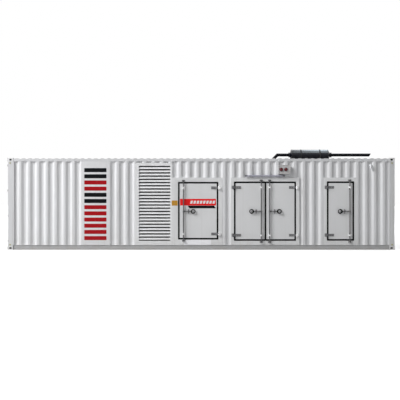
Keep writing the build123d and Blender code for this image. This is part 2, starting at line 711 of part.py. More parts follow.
# Door leaves, seals, fittings and locks
DOOR_PIECES = {"leaf": [], "seal": [], "gear": []}
for name, leaf in LEAVES.items():
    hinge = hinge_x(leaf)
    rod = rod_x(leaf)
    inward = -leaf.hinge_side
    left_seal = leaf.free_seal if leaf.hinge_side > 0 else SEAL_WIDTH
    right_seal = SEAL_WIDTH if leaf.hinge_side > 0 else leaf.free_seal
    panel_edges = (leaf.left + left_seal, leaf.right - right_seal, leaf.bottom + SEAL_WIDTH,
                   leaf.top - SEAL_WIDTH)

    with BuildPart() as door_leaf:
        with BuildSketch(front()):
            area(*panel_edges)
        extrude(amount=-LEAF_THICKNESS)
        chamfer(door_leaf.faces().sort_by(Axis.Y)[0].edges(), LEAF_CHAMFER)
    export(door_leaf.part, f"{name}_leaf")

    with BuildPart() as door_seal:
        with BuildSketch(front(-SEAL_SETBACK)):
            area(leaf.left, leaf.right, leaf.bottom, leaf.top)
            area(*panel_edges, Mode.SUBTRACT)
        extrude(amount=-SEAL_DEPTH)
    export(door_seal.part, f"{name}_seal")

    with BuildPart() as door_fittings:
        # Strap hinges: a flat bar on the leaf, lifted over the seal to a knuckle on the pin
        for z in hinge_heights(leaf):
            panel_start = HINGE_OUTSIDE + SEAL_WIDTH + LEAF_CHAMFER
            lifted = STRAP_LIFT + STRAP_THICKNESS
            strap_line = [
                (0, -STRAP_LIFT), (panel_start, -STRAP_LIFT), (panel_start + STRAP_JOGGLE, 0),
                (STRAP_LENGTH, 0), (STRAP_LENGTH, -STRAP_THICKNESS),
                (panel_start + STRAP_JOGGLE + STRAP_THICKNESS / 2, -STRAP_THICKNESS),
                (panel_start + STRAP_THICKNESS / 2, -lifted), (0, -lifted),
            ]
            with BuildSketch(level(z - STRAP_HEIGHT / 2)):
                with BuildLine():
                    Polyline(*[(hinge + inward * x, depth) for x, depth in strap_line], close=True)
                make_face()
            extrude(amount=STRAP_HEIGHT)
            with BuildSketch(front()):
                for side in (-1, 1):
                    with Locations((hinge, z + side * (KNUCKLE_HEIGHT + STRAP_HEIGHT) / 2)):
                        Rectangle(2 * (HINGE_RADIUS + STRAP_CLEARANCE), STRAP_HEIGHT)
            extrude(amount=2 * HINGE_FORWARD, mode=Mode.SUBTRACT)
            with BuildSketch(level(z - KNUCKLE_HEIGHT / 2)):
                with Locations((hinge, -HINGE_FORWARD)):
                    Circle(HINGE_RADIUS)
            extrude(amount=KNUCKLE_HEIGHT)
            with BuildSketch(level(z - KNUCKLE_HEIGHT / 2)):
                with Locations((hinge, -HINGE_FORWARD)):
                    Circle(PIN_RADIUS + PIN_CLEARANCE)
            extrude(amount=KNUCKLE_HEIGHT, mode=Mode.SUBTRACT)
        # Rod guides: a long oval plate with a bored block
        for z in hinge_heights(leaf):
            with BuildSketch(front()):
                with Locations((rod, z)):
                    SlotOverall(GUIDE_HEIGHT, GUIDE_WIDTH, rotation=90)
            extrude(amount=GUIDE_PLATE)
            block_reach = ROD_FORWARD + ROD_RADIUS + GUIDE_PLATE
            with BuildSketch(level(z - GUIDE_BLOCK_HEIGHT / 2)):
                area(rod - GUIDE_BLOCK_WIDTH / 2, rod + GUIDE_BLOCK_WIDTH / 2, -block_reach, 0)
                with Locations((rod, -ROD_FORWARD)):
                    Circle(ROD_RADIUS + GUIDE_CLEARANCE, mode=Mode.SUBTRACT)
            extrude(amount=GUIDE_BLOCK_HEIGHT)
        # Catch: two cheeks that the lever drops between, and an upright bar behind it
        catch_x = rod + leaf.hinge_side * CATCH_FROM_ROD
        cheek = LEVER_HEIGHT / 2 + CATCH_CLEARANCE + CATCH_CHEEK / 2
        with BuildSketch(front()):
            with Locations((catch_x, HANDLE_Z)):
                Rectangle(CATCH_WIDTH, CATCH_HEIGHT)
        extrude(amount=CATCH_BASE)
        with BuildSketch(front(CATCH_BASE)):
            for side in (-1, 1):
                with Locations((catch_x, HANDLE_Z + side * cheek)):
                    Rectangle(CATCH_WIDTH, CATCH_CHEEK)
        extrude(amount=CATCH_REACH - CATCH_BASE)
        with BuildSketch(front()):
            with Locations((catch_x, HANDLE_Z)):
                SlotOverall(CATCH_BAR_HEIGHT, CATCH_BAR_WIDTH, rotation=90)
        extrude(amount=CATCH_BAR_REACH)
    export(door_fittings.part, f"{name}_fittings")

    with BuildPart() as door_lock:
        rod_bottom = leaf.bottom - ROD_BEYOND_SEAL
        rod_top = leaf.top + ROD_BEYOND_SEAL
        with BuildSketch(level(rod_bottom)):
            with Locations((rod, -ROD_FORWARD)):
                Circle(ROD_RADIUS)
        extrude(amount=rod_top - rod_bottom)
        for z in (leaf.bottom - CAM_BEYOND_SEAL, leaf.top + CAM_BEYOND_SEAL):
            with BuildSketch(level(z - CAM_HEIGHT / 2)):
                with Locations((rod, -ROD_FORWARD)):
                    Circle(CAM_RADIUS)
                area(rod - CAM_RADIUS, rod + CAM_RADIUS, -ROD_FORWARD + ROD_RADIUS / 2,
                     -ROD_FORWARD + CAM_RADIUS, Mode.SUBTRACT)
            extrude(amount=CAM_HEIGHT)
        with BuildSketch(level(HANDLE_Z - HUB_HEIGHT / 2)):
            with Locations((rod, -ROD_FORWARD)):
                Circle(HUB_RADIUS)
        extrude(amount=HUB_HEIGHT)
        # The fork on the hub and the lever in it, which ends in a grip like a drop with a hole
        lever_end = GRIP_START + GRIP_BAR
        cheek = (LEVER_HEIGHT + FORK_CHEEK) / 2
        with BuildSketch(lock_plane(leaf, LEVER_THICKNESS)):
            area(0, lever_end, -LEVER_HEIGHT / 2, LEVER_HEIGHT / 2)
        extrude(amount=LEVER_THICKNESS)
        with BuildSketch(lock_plane(leaf, FORK_THICKNESS)):
            for side in (-1, 1):
                with Locations((FORK_LENGTH / 2, side * cheek)):
                    Rectangle(FORK_LENGTH, FORK_CHEEK)
        extrude(amount=FORK_THICKNESS)
        ring_centre = GRIP_START + GRIP_LENGTH - GRIP_RADIUS
        tangent_x = ring_centre - GRIP_RADIUS ** 2 / (ring_centre - GRIP_START)
        tangent_y = sqrt(GRIP_RADIUS ** 2 - (ring_centre - tangent_x) ** 2)
        with BuildSketch(lock_plane(leaf, GRIP_THICKNESS)):
            with Locations((ring_centre, 0)):
                Circle(GRIP_RADIUS)
            with BuildLine():
                Polyline((GRIP_START, 0), (tangent_x, tangent_y), (tangent_x, -tangent_y), close=True)
            make_face()
            with Locations((ring_centre + GRIP_HOLE_SHIFT, 0)):
                Circle(GRIP_RADIUS - GRIP_BAR, mode=Mode.SUBTRACT)
        extrude(amount=GRIP_THICKNESS)
    export(door_lock.part, f"{name}_lock")

    DOOR_PIECES["leaf"].append(door_leaf.part)
    DOOR_PIECES["seal"].append(door_seal.part)
    DOOR_PIECES["gear"] += [door_fittings.part, door_lock.part]

# Small things on the front wall
with BuildPart() as door_sill_plate:
    sill_plate_left = WIDE.seal_left + SILL_PLATE_INSETS[0]
    sill_plate_top = RAIL_TOP + SILL_PLATE_HEIGHT
    keeper_right = rod_x(LEAVES["wide_door"]) + KEEPER_WIDTH / 2
    keeper_bottom = WIDE.bottom - CAM_BEYOND_SEAL - KEEPER_HEIGHT / 2
    with BuildSketch(front()):
        area(sill_plate_left, WIDE.seal_right - SILL_PLATE_INSETS[1], RAIL_TOP, sill_plate_top)
        area(sill_plate_left, keeper_right + SILL_PLATE_NOTCH, keeper_bottom - SILL_PLATE_NOTCH,
             sill_plate_top, Mode.SUBTRACT)
    extrude(amount=SILL_PLATE_THICKNESS)
export(door_sill_plate.part, "door_sill_plate")

light_right = LIGHT_LEFT + LIGHT_LENGTH
with BuildPart() as strip_light_body:
    with BuildSketch(along_x(LIGHT_LEFT + LIGHT_CAP)):
        area(-FACE - LIGHT_REACH, -FACE, LIGHT_BOTTOM, LIGHT_TOP)
    extrude(amount=LIGHT_LENGTH - 2 * LIGHT_CAP)
    outer_edges = strip_light_body.faces().sort_by(Axis.Y)[0].edges().filter_by(Axis.X)
    fillet(outer_edges, LIGHT_FILLET)
export(strip_light_body.part, "strip_light_body")

with BuildPart() as strip_light_caps:
    with BuildSketch(front()):
        area(LIGHT_LEFT, LIGHT_LEFT + LIGHT_CAP, LIGHT_BOTTOM, LIGHT_TOP)
        area(light_right - LIGHT_CAP, light_right, LIGHT_BOTTOM, LIGHT_TOP)
    extrude(amount=LIGHT_REACH)
export(strip_light_caps.part, "strip_light_caps")

alarm_x = ALARM_LEFT + ALARM_WIDTH / 2
alarm_z = ALARM_BOTTOM + ALARM_HEIGHT / 2
with BuildPart() as alarm_box:
    with BuildSketch(front(0, alarm_x, alarm_z)):
        RectangleRounded(ALARM_WIDTH, ALARM_HEIGHT, ALARM_FILLET)
    extrude(amount=ALARM_REACH)
    with BuildSketch(front(ALARM_REACH, alarm_x, alarm_z)):
        Rectangle(ALARM_WIDTH - 2 * ALARM_RIM, ALARM_HEIGHT - 2 * ALARM_RIM)
    extrude(amount=-ALARM_RECESS, mode=Mode.SUBTRACT)
    with BuildSketch(level(ALARM_BOTTOM)):
        for from_edge in GLANDS_FROM_EDGE:
            with Locations((ALARM_LEFT + from_edge, -ALARM_REACH / 2)):
                Circle(GLAND_RADIUS)
    extrude(amount=-GLAND_LENGTH)
export(alarm_box.part, "alarm_box")

with BuildPart() as alarm_lamps:
    with BuildSketch(front(ALARM_REACH - ALARM_RECESS)):
        for from_edge in LAMPS_FROM_EDGE:
            with Locations((ALARM_LEFT + from_edge, alarm_z)):
                Circle(LAMP_RADIUS)
    extrude(amount=LAMP_REACH)
    chamfer(alarm_lamps.faces().sort_by(Axis.Y)[:2].edges(), LAMP_CHAMFER)
export(alarm_lamps.part, "alarm_lamps")

# Vent: a mitred elbow with its mouth down, on an oval flange in a trough of the wall
vent_foot = -(FACE - WALL_DEPTH)
vent_out = vent_foot - VENT_STUB - VENT_MITRE
with BuildPart() as vent_elbow:
    with BuildLine():
        Polyline((VENT_X, vent_foot, VENT_AXIS), (VENT_X, vent_foot - VENT_STUB, VENT_AXIS),
                 (VENT_X, vent_out, VENT_AXIS - VENT_MITRE), (VENT_X, vent_out, VENT_AXIS - VENT_DROP))
    with BuildSketch(Plane(origin=(VENT_X, vent_foot, VENT_AXIS), x_dir=(1, 0, 0), z_dir=(0, -1, 0))):
        Circle(VENT_RADIUS)
        Circle(VENT_RADIUS - VENT_WALL, mode=Mode.SUBTRACT)
    sweep(transition=Transition.RIGHT)
    with BuildSketch(Plane(origin=(VENT_X, vent_foot, VENT_AXIS), x_dir=(1, 0, 0), z_dir=(0, -1, 0))):
        SlotOverall(VENT_FLANGE_HEIGHT, VENT_FLANGE_WIDTH, rotation=90)
        Circle(VENT_RADIUS - VENT_WALL, mode=Mode.SUBTRACT)
    extrude(amount=VENT_FLANGE)
export(vent_elbow.part, "vent_elbow")

# Exhaust: a mitred pipe up through the roof, the silencer lying on two saddles, and the tail pipe
pipe_under_roof = ROOF_RAIL_TOP - INLET_BELOW_ROOF
with BuildPart() as exhaust_inlet_pipe:
    with BuildLine():
        Polyline((INLET_X, 0, pipe_under_roof), (INLET_X, 0, PIPE_AXIS - INLET_MITRE),
                 (INLET_X + INLET_MITRE, 0, PIPE_AXIS), (SILENCER_LEFT, 0, PIPE_AXIS))
    with BuildSketch(Plane.XY.offset(pipe_under_roof)):
        with Locations((INLET_X, 0)):
            Circle(PIPE_RADIUS)
            Circle(PIPE_RADIUS - PIPE_WALL, mode=Mode.SUBTRACT)
    sweep(transition=Transition.RIGHT)
    with BuildSketch(along_x(SILENCER_LEFT)):
        with Locations((0, PIPE_AXIS)):
            Circle(FLANGE_RADIUS)
            Circle(PIPE_RADIUS - PIPE_WALL, mode=Mode.SUBTRACT)
    extrude(amount=-FLANGE_THICKNESS)
export(exhaust_inlet_pipe.part, "exhaust_inlet_pipe")

with BuildPart() as silencer:
    with BuildSketch(Plane(origin=(0, 0, PIPE_AXIS), x_dir=(1, 0, 0), z_dir=(0, -1, 0))):
        with BuildLine():
            seam = SILENCER_RADIUS + SILENCER_SEAM
            Polyline((SILENCER_LEFT, 0), (SILENCER_LEFT, FLANGE_RADIUS),
                     (SILENCER_LEFT + FLANGE_THICKNESS, FLANGE_RADIUS),
                     (SILENCER_LEFT + FLANGE_THICKNESS, SILENCER_NECK),
                     (SILENCER_LEFT + 2 * FLANGE_THICKNESS, SILENCER_NECK),
                     (SILENCER_BODY_LEFT, SILENCER_RADIUS), (SILENCER_BODY_LEFT, seam),
                     (SILENCER_BODY_LEFT + SILENCER_SEAM_WIDTH, seam),
                     (SILENCER_BODY_LEFT + SILENCER_SEAM_WIDTH, SILENCER_RADIUS),
                     (SILENCER_BODY_RIGHT - SILENCER_SEAM_WIDTH, SILENCER_RADIUS),
                     (SILENCER_BODY_RIGHT - SILENCER_SEAM_WIDTH, seam), (SILENCER_BODY_RIGHT, seam),
                     (SILENCER_BODY_RIGHT, SILENCER_RADIUS),
                     (SILENCER_RIGHT - 2 * FLANGE_THICKNESS, SILENCER_NECK),
                     (SILENCER_RIGHT - FLANGE_THICKNESS, SILENCER_NECK),
                     (SILENCER_RIGHT - FLANGE_THICKNESS, FLANGE_RADIUS),
                     (SILENCER_RIGHT, FLANGE_RADIUS), (SILENCER_RIGHT, 0), close=True)
        make_face()
    revolve(axis=Axis((0, 0, PIPE_AXIS), (1, 0, 0)))
export(silencer.part, "silencer")

with BuildPart() as exhaust_tail_pipe:
    with BuildSketch(along_x(SILENCER_RIGHT)):
        with Locations((0, PIPE_AXIS)):
            Circle(PIPE_RADIUS)
    extrude(amount=TAIL_LENGTH)
    with BuildSketch(along_x(SILENCER_RIGHT)):
        with Locations((0, PIPE_AXIS)):
            Circle(FLANGE_RADIUS)
    extrude(amount=FLANGE_THICKNESS)
    with BuildSketch(along_x(SILENCER_RIGHT)):
        with Locations((0, PIPE_AXIS)):
            Circle(PIPE_RADIUS - PIPE_WALL)
    extrude(amount=TAIL_LENGTH, mode=Mode.SUBTRACT)
    with BuildSketch(Plane(origin=(0, -2 * PIPE_RADIUS, PIPE_AXIS), x_dir=(1, 0, 0), z_dir=(0, -1, 0))):
        with BuildLine():
            Polyline((TAIL_END, PIPE_RADIUS), (TAIL_END - TAIL_SLANT, -PIPE_RADIUS),
                     (TAIL_END - TAIL_SLANT, -2 * PIPE_RADIUS), (TAIL_END + TAIL_SLANT, -2 * PIPE_RADIUS),
                     (TAIL_END + TAIL_SLANT, PIPE_RADIUS), close=True)
        make_face()
    extrude(amount=-4 * PIPE_RADIUS, mode=Mode.SUBTRACT)
export(exhaust_tail_pipe.part, "exhaust_tail_pipe")

# Saddles: a pad on the roof's crests, a cradle plate and a band round the silencer
band_inside = SILENCER_RADIUS + SEAT_CLEARANCE
with BuildPart() as silencer_saddles:
    for from_body in SADDLES_FROM_BODY:
        from_bay = SILENCER_BODY_LEFT + from_body + X_BAY
        crest = -X_BAY + roof_pitch * (round(from_bay / roof_pitch - 0.5) + 0.5)
        with BuildSketch(Plane.XY.offset(ROOF_CREST)):
            with Locations((crest, 0)):
                Rectangle(SADDLE_PAD_LENGTH, SADDLE_PAD_WIDTH)
        extrude(amount=SADDLE_PAD)
        with BuildSketch(along_x(crest - SADDLE_THICKNESS / 2)):
            area(-SADDLE_WIDTH / 2, SADDLE_WIDTH / 2, ROOF_CREST + SADDLE_PAD, ROOF_CREST + SADDLE_RISE)
        extrude(amount=SADDLE_THICKNESS)
        with BuildSketch(along_x(crest - BAND_WIDTH / 2)):
            with Locations((0, PIPE_AXIS)):
                Circle(band_inside + BAND_THICKNESS)
        extrude(amount=BAND_WIDTH)
        with BuildSketch(along_x(crest - SADDLE_PAD_LENGTH / 2)):
            with Locations((0, PIPE_AXIS)):
                Circle(band_inside)
        extrude(amount=SADDLE_PAD_LENGTH, mode=Mode.SUBTRACT)
export(silencer_saddles.part, "silencer_saddles")

with BuildPart() as roof_collar:
    with BuildSketch(Plane.XY.offset(ROOF_CREST)):
        with Locations((INLET_X, 0)):
            Rectangle(COLLAR_PLATE, COLLAR_PLATE)
    extrude(amount=COLLAR_THICKNESS)
    with BuildSketch(Plane.XY.offset(ROOF_CREST)):
        with Locations((INLET_X, 0)):
            Circle(PIPE_RADIUS + SEAT_CLEARANCE + COLLAR_RING)
    extrude(amount=COLLAR_HEIGHT)
    with BuildSketch(Plane.XY.offset(ROOF_CREST)):
        with Locations((INLET_X, 0)):
            Circle(PIPE_RADIUS + SEAT_CLEARANCE)
    extrude(amount=COLLAR_HEIGHT, mode=Mode.SUBTRACT)
export(roof_collar.part, "roof_collar")

# Back wall: the front mirrored, with everything on it fixed
for mirrored, name in (
    (front_side_panels, "back_side_panels"),
    (front_panels_over_doors, "back_panels_over_doors"),
    (front_louvre, "back_louvre"),
    (front_door_frames, "back_door_frames"),
):
    with BuildPart() as back_piece:
        mirror(mirrored.part, about=Plane.XZ)
    export(back_piece.part, name)

for kind, name in (("leaf", "back_doors"), ("seal", "back_door_seals"), ("gear", "back_door_hardware")):
    with BuildPart() as back_piece:
        for piece in DOOR_PIECES[kind]:
            mirror(piece, about=Plane.XZ)
        if kind == "gear":
            mirror(front_hinge_lugs.part, about=Plane.XZ)
            mirror(front_lock_keepers.part, about=Plane.XZ)
    export(back_piece.part, name)

# Left end: two cargo doors that stay shut, in a seal between the posts, the sill and the header
end_outside = -X_END + END_LEAF_SETBACK
end_plane = Plane(origin=(end_outside, 0, 0), x_dir=(0, -1, 0), z_dir=(-1, 0, 0))
leaf_edges = (END_LEAF_GAP / 2, Y_BAY - END_SEAL, RAIL_TOP + END_SEAL, ROOF_RAIL_BOTTOM - END_SEAL)
with BuildPart() as end_cargo_doors:
    with BuildSketch(end_plane):
        area(*leaf_edges)
    extrude(amount=-END_LEAF_THICKNESS)
    recess_pitch = (leaf_edges[3] - leaf_edges[2] - END_RECESS_MARGIN) / END_RECESSES
    with BuildSketch(end_plane):
        for i in range(END_RECESSES):
            recess_bottom = leaf_edges[2] + END_RECESS_MARGIN + i * recess_pitch
            area(leaf_edges[0] + END_RECESS_MARGIN, leaf_edges[1] - END_RECESS_MARGIN, recess_bottom,
                 recess_bottom + recess_pitch - END_RECESS_MARGIN)
    extrude(amount=-END_RECESS_DEPTH, mode=Mode.SUBTRACT)
    mirror(about=Plane.XZ)
export(end_cargo_doors.part, "end_cargo_doors")

with BuildPart() as end_door_seals:
    with BuildSketch(end_plane):
        area(-Y_BAY, Y_BAY, RAIL_TOP + FLOOR_THICKNESS, ROOF_RAIL_BOTTOM)
        area(*leaf_edges, Mode.SUBTRACT)
        area(-leaf_edges[1], -leaf_edges[0], leaf_edges[2], leaf_edges[3], Mode.SUBTRACT)
    extrude(amount=-END_LEAF_THICKNESS)
export(end_door_seals.part, "end_door_seals")

def spread(first, last, count):
    """Evenly spaced places from first to last."""
    return [first + (last - first) * i / (count - 1) for i in range(count)]


# On each leaf two rods in guides, with a cam at either end and a lever, and hinges on the post's face
end_rods = (leaf_edges[0] + END_ROD_FROM_EDGE, leaf_edges[1] - END_ROD_FROM_EDGE)
end_rod_x = end_outside - END_ROD_RADIUS
end_post_face = -X_END + DOOR_POST_SETBACK
end_cams = (leaf_edges[2] + END_ROD_CLEARANCE, leaf_edges[3] - END_ROD_CLEARANCE - END_CAM_HEIGHT)
with BuildPart() as end_door_hardware:
    with BuildSketch(Plane.XY.offset(end_cams[0])):
        for y in end_rods:
            with Locations((end_rod_x, y)):
                Circle(END_ROD_RADIUS)
    extrude(amount=end_cams[1] + END_CAM_HEIGHT - end_cams[0])
    for z in end_cams:
        with BuildSketch(Plane.XY.offset(z)):
            for y in end_rods:
                with Locations((end_rod_x, y)):
                    Rectangle(2 * END_ROD_RADIUS, END_CAM_WIDTH)
        extrude(amount=END_CAM_HEIGHT)
    for z in spread(leaf_edges[2] + END_GUIDE_INSET, leaf_edges[3] - END_GUIDE_INSET, END_GUIDES):
        with BuildSketch(Plane.XY.offset(z - END_GUIDE_HEIGHT / 2)):
            for y in end_rods:
                area(-X_END, end_outside, y - END_GUIDE_WIDTH / 2, y + END_GUIDE_WIDTH / 2)
        extrude(amount=END_GUIDE_HEIGHT)
    for y, z, towards in zip(end_rods, END_LEVER_Z, (1, -1)):
        lever_end = y + towards * END_LEVER_LENGTH
        with BuildSketch(Plane.XY.offset(z - END_LEVER_HEIGHT / 2)):
            area(end_rod_x - END_LEVER_THICKNESS / 2, end_rod_x + END_LEVER_THICKNESS / 2,
                 min(y, lever_end), max(y, lever_end))
        extrude(amount=END_LEVER_HEIGHT)
        with BuildSketch(Plane.XY.offset(z - END_CATCH_HEIGHT / 2)):
            with Locations(((end_rod_x + end_outside) / 2, lever_end - towards * END_CATCH_WIDTH)):
                Rectangle(end_outside - end_rod_x, END_CATCH_WIDTH)
        extrude(amount=END_CATCH_HEIGHT)
    for z in spread(leaf_edges[2] + END_HINGE_INSET, leaf_edges[3] - END_HINGE_INSET, END_HINGES):
        barrel_y = Y_BAY + END_BARREL_FROM_SEAL
        blade_face = end_outside - END_HINGE_THICKNESS
        with BuildSketch(Plane.XY.offset(z - END_HINGE_HEIGHT / 2)):
            area(blade_face, end_outside, leaf_edges[1] - END_HINGE_REACH, leaf_edges[1])
            area(blade_face, end_post_face, leaf_edges[1], barrel_y)
            with Locations((end_post_face - END_BARREL_RADIUS, barrel_y)):
                Circle(END_BARREL_RADIUS)
        extrude(amount=END_HINGE_HEIGHT)
    mirror(about=Plane.XZ)
export(end_door_hardware.part, "end_door_hardware")

# Right end: corrugated sheets on both sides of a louvre like the one in the side wall
right_end = Plane(origin=(END_FACE, 0, 0), x_dir=(0, 1, 0), z_dir=(1, 0, 0))
end_trough_offset = (END_WALL_TROUGHS - 1) / 2
end_centres = [WALL_PITCH * (i - end_trough_offset) for i in range(END_WALL_TROUGHS)]
end_louvre_half = LOUVRE_WIDTH / 2
end_corners = wave(end_louvre_half, Y_BAY, end_centres, WALL_TROUGH_FLAT, WALL_SLOPE, WALL_DEPTH)
with BuildPart() as right_end_panels:
    with BuildSketch(Plane(origin=(END_FACE, 0, RAIL_TOP), x_dir=(0, 1, 0), z_dir=(0, 0, 1))):
        sheet_section(end_corners, SHEET)
    extrude(amount=ROOF_RAIL_BOTTOM - RAIL_TOP)
    mirror(about=Plane.XZ)
export(right_end_panels.part, "right_end_panels")

end_slot_half = end_louvre_half - SLOT_FROM_RIGHT
with BuildPart() as right_end_louvre:
    louvre(right_end, -end_louvre_half, end_louvre_half, ROOF_RAIL_BOTTOM, -end_slot_half, end_slot_half)
export(right_end_louvre.part, "right_end_louvre")
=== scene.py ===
import json
import math

import bmesh
import bpy
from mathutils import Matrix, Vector


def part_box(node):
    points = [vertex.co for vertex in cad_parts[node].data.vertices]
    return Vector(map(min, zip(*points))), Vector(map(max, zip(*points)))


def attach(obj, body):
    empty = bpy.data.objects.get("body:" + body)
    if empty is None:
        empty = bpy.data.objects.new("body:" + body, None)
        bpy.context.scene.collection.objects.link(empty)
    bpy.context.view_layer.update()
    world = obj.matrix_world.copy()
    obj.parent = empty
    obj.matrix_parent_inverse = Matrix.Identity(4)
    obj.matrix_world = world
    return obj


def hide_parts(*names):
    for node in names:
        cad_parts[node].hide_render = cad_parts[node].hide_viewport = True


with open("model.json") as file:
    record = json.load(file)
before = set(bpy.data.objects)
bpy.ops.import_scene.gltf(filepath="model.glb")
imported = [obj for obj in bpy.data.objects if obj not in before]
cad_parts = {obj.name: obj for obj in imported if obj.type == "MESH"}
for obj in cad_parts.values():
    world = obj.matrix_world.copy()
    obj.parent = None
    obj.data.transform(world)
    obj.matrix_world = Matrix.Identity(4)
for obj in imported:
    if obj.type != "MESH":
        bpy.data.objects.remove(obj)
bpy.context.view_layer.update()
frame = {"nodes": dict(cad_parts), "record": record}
nodes = frame["nodes"]
record = frame["record"]
BODY_OF = {node: body for body, members in record["behaviour"]["bodies"].items() for node in members}
SLOT_OF = {subpart["node"]: subpart["material_slot"] for subpart in record["subparts"]}


# Corrugated walls. Sheets of 2 mm weathering steel, pressed into a trapezoid wave, stand between the
# rails and are seam-welded to them. They are sprayed with a semi-gloss white that has gathered a
# little dust near the ground and faint run-off streaks below the top rail.
WHITE = (0.69, 0.695, 0.71, 1)
ROAD_DUST = (0.36, 0.335, 0.30, 1)
BARE_PRIMER = (0.17, 0.15, 0.135, 1)
ORANGE_PEEL = 0.00004
FOLD_RADIUS = 0.045
FOLD_STEPS = 4
SHEET_THICKNESS = 0.002
BEAD_RADIUS = 0.005
BEAD_STEPS = 5
SAME_POINT = 0.00005
SAME_LEVEL = 0.001
CLEAR_OF_END = 0.002
COLOUR, NUMBER, WHOLE, VECTOR = "NodeSocketColor", "NodeSocketFloat", "NodeSocketInt", "NodeSocketVector"
GEOMETRY, MATERIAL = "NodeSocketGeometry", "NodeSocketMaterial"


def fill(tree, sockets, values):
    """Gives sockets their values, or links them where the value is another node's socket."""
    for name, value in dict(values).items():
        if isinstance(value, bpy.types.NodeSocket):
            tree.links.new(value, sockets[name])
        else:
            sockets[name].default_value = value


def put(tree, kind, inputs=(), **settings):
    """Adds a node to a tree, sets its properties and fills its inputs."""
    node = tree.nodes.new(kind)
    for name, value in settings.items():
        setattr(node, name, value)
    fill(tree, node.inputs, inputs)
    return node


def first(tree, kind, inputs=(), **settings):
    """The first output of a new node."""
    return put(tree, kind, inputs, **settings).outputs[0]


def object_place(tree):
    """The place on the object that is being shaded."""
    return put(tree, "ShaderNodeTexCoord").outputs["Object"]


def stretched(tree, place, scale):
    """A place scaled along each axis."""
    return first(tree, "ShaderNodeMapping", {"Vector": place, "Scale": scale})


def noise(tree, place, scale, detail):
    """Cloudy noise from 0 to 1."""
    return first(tree, "ShaderNodeTexNoise", {"Vector": place, "Scale": scale, "Detail": detail})


def ranged(tree, value, start, end, to_start=0.0, to_end=1.0, **settings):
    """A value carried from one range to another, and held inside it."""
    return first(tree, "ShaderNodeMapRange", {
        "Value": value, "From Min": start, "From Max": end, "To Min": to_start, "To Max": to_end}, **settings)


def maths(tree, operation, *values, clamp=False):
    """The result of one operation on numbers."""
    return first(tree, "ShaderNodeMath", dict(enumerate(values)), operation=operation, use_clamp=clamp)


def blend(tree, share, one, other):
    """A colour that goes from one to another by a share."""
    mix = put(tree, "ShaderNodeMix", {"Factor": share, "A": one, "B": other}, data_type="RGBA")
    return mix.outputs["Result"]


def new_group(name, kind, inputs, outputs):
    """A node group with named inputs, given as name: (socket type, value), and named outputs."""
    group = bpy.data.node_groups.new(name, kind)
    for socket, (socket_type, value) in inputs.items():
        made = group.interface.new_socket(socket, in_out="INPUT", socket_type=socket_type)
        if value is not None:
            made.default_value = value
    for socket, socket_type in outputs.items():
        group.interface.new_socket(socket, in_out="OUTPUT", socket_type=socket_type)
    return group, put(group, "NodeGroupInput").outputs, put(group, "NodeGroupOutput").inputs


def build_weathered_paint():
    """Sprayed paint: cloudy tone, run-off streaks, dust that thins out with height, orange peel, chips."""
    group, given, made = new_group(
        "weathered_paint", "ShaderNodeTree",
        {"Paint": (COLOUR, WHITE), "Dust": (COLOUR, ROAD_DUST), "Dust amount": (NUMBER, 0.25),
         "Dust height": (NUMBER, 0.8), "Streaks": (NUMBER, 0.3), "Base roughness": (NUMBER, 0.4),
         "Waviness": (NUMBER, 0.002), "Chips": (NUMBER, 0.0)},
        {"Color": COLOUR, "Roughness": NUMBER, "Height": NUMBER})
    place = object_place(group)
    height = put(group, "ShaderNodeSeparateXYZ", {0: place}).outputs["Z"]

    clouds = noise(group, stretched(group, place, (0.9, 0.9, 0.3)), scale=1.4, detail=4)
    tone = ranged(group, clouds, 0.3, 0.7, 0.955, 1.02)
    toned = first(group, "ShaderNodeVectorMath", {0: given["Paint"], "Scale": tone}, operation="SCALE")

    runs = noise(group, stretched(group, place, (16, 16, 0.35)), scale=1, detail=5)
    run_share = maths(group, "MULTIPLY", ranged(group, runs, 0.55, 0.8), given["Streaks"])

    low = ranged(group, height, given["Dust height"], 0.02)
    patches = ranged(group, noise(group, place, scale=5, detail=6), 0.25, 0.7)
    dusty = maths(group, "MULTIPLY", maths(group, "POWER", low, 1.8), patches)
    dust_share = maths(group, "MULTIPLY", dusty, given["Dust amount"])

    share = maths(group, "ADD", run_share, dust_share, clamp=True)
    dulled = blend(group, share, toned, given["Dust"])
    rough = maths(group, "MULTIPLY_ADD", share, 0.35, given["Base roughness"])
    satin = maths(group, "MULTIPLY_ADD", clouds, 0.08, rough)

    dents = noise(group, stretched(group, place, (1, 1, 0.6)), scale=1.6, detail=1)
    waves = maths(group, "MULTIPLY", dents, given["Waviness"])
    relief = maths(group, "MULTIPLY_ADD", noise(group, place, scale=220, detail=1), ORANGE_PEEL, waves)

    chipped = ranged(group, noise(group, place, scale=34, detail=4), 0.63, 0.66)
    chip_share = maths(group, "MULTIPLY", chipped, given["Chips"])
    fill(group, made, {"Color": blend(group, chip_share, dulled, BARE_PRIMER), "Roughness": satin,
                       "Height": relief})
    return group


weathered_paint = build_weathered_paint()


def spaced(values):
    """Values under the names of their sockets, with spaces in place of underscores."""
    return {name.replace("_", " "): value for name, value in values.items()}


def new_material(name, **constants):
    """A material whose plain values are set on its shader, with its tree and its shader's inputs."""
    material = bpy.data.materials.new(name)
    material.use_nodes = True
    shader = material.node_tree.nodes["Principled BSDF"].inputs
    fill(material.node_tree, shader, spaced(constants))
    return material, material.node_tree, shader


def painted(name, paint, coat=0.12, specular=0.5, **values):
    """A material with the weathered paint group, set to this paint's own values."""
    material, tree, shader = new_material(
        name, IOR=1.5, Coat_Weight=coat, Coat_Roughness=0.22, Specular_IOR_Level=specular)
    skin = put(tree, "ShaderNodeGroup", {"Paint": (*paint[:3], 1), **spaced(values)},
               node_tree=weathered_paint).outputs
    bump = first(tree, "ShaderNodeBump", {"Height": skin["Height"], "Distance": 1.0, "Strength": 1.0})
    fill(tree, shader, {"Base Color": skin["Color"], "Roughness": skin["Roughness"], "Normal": bump})
    return material


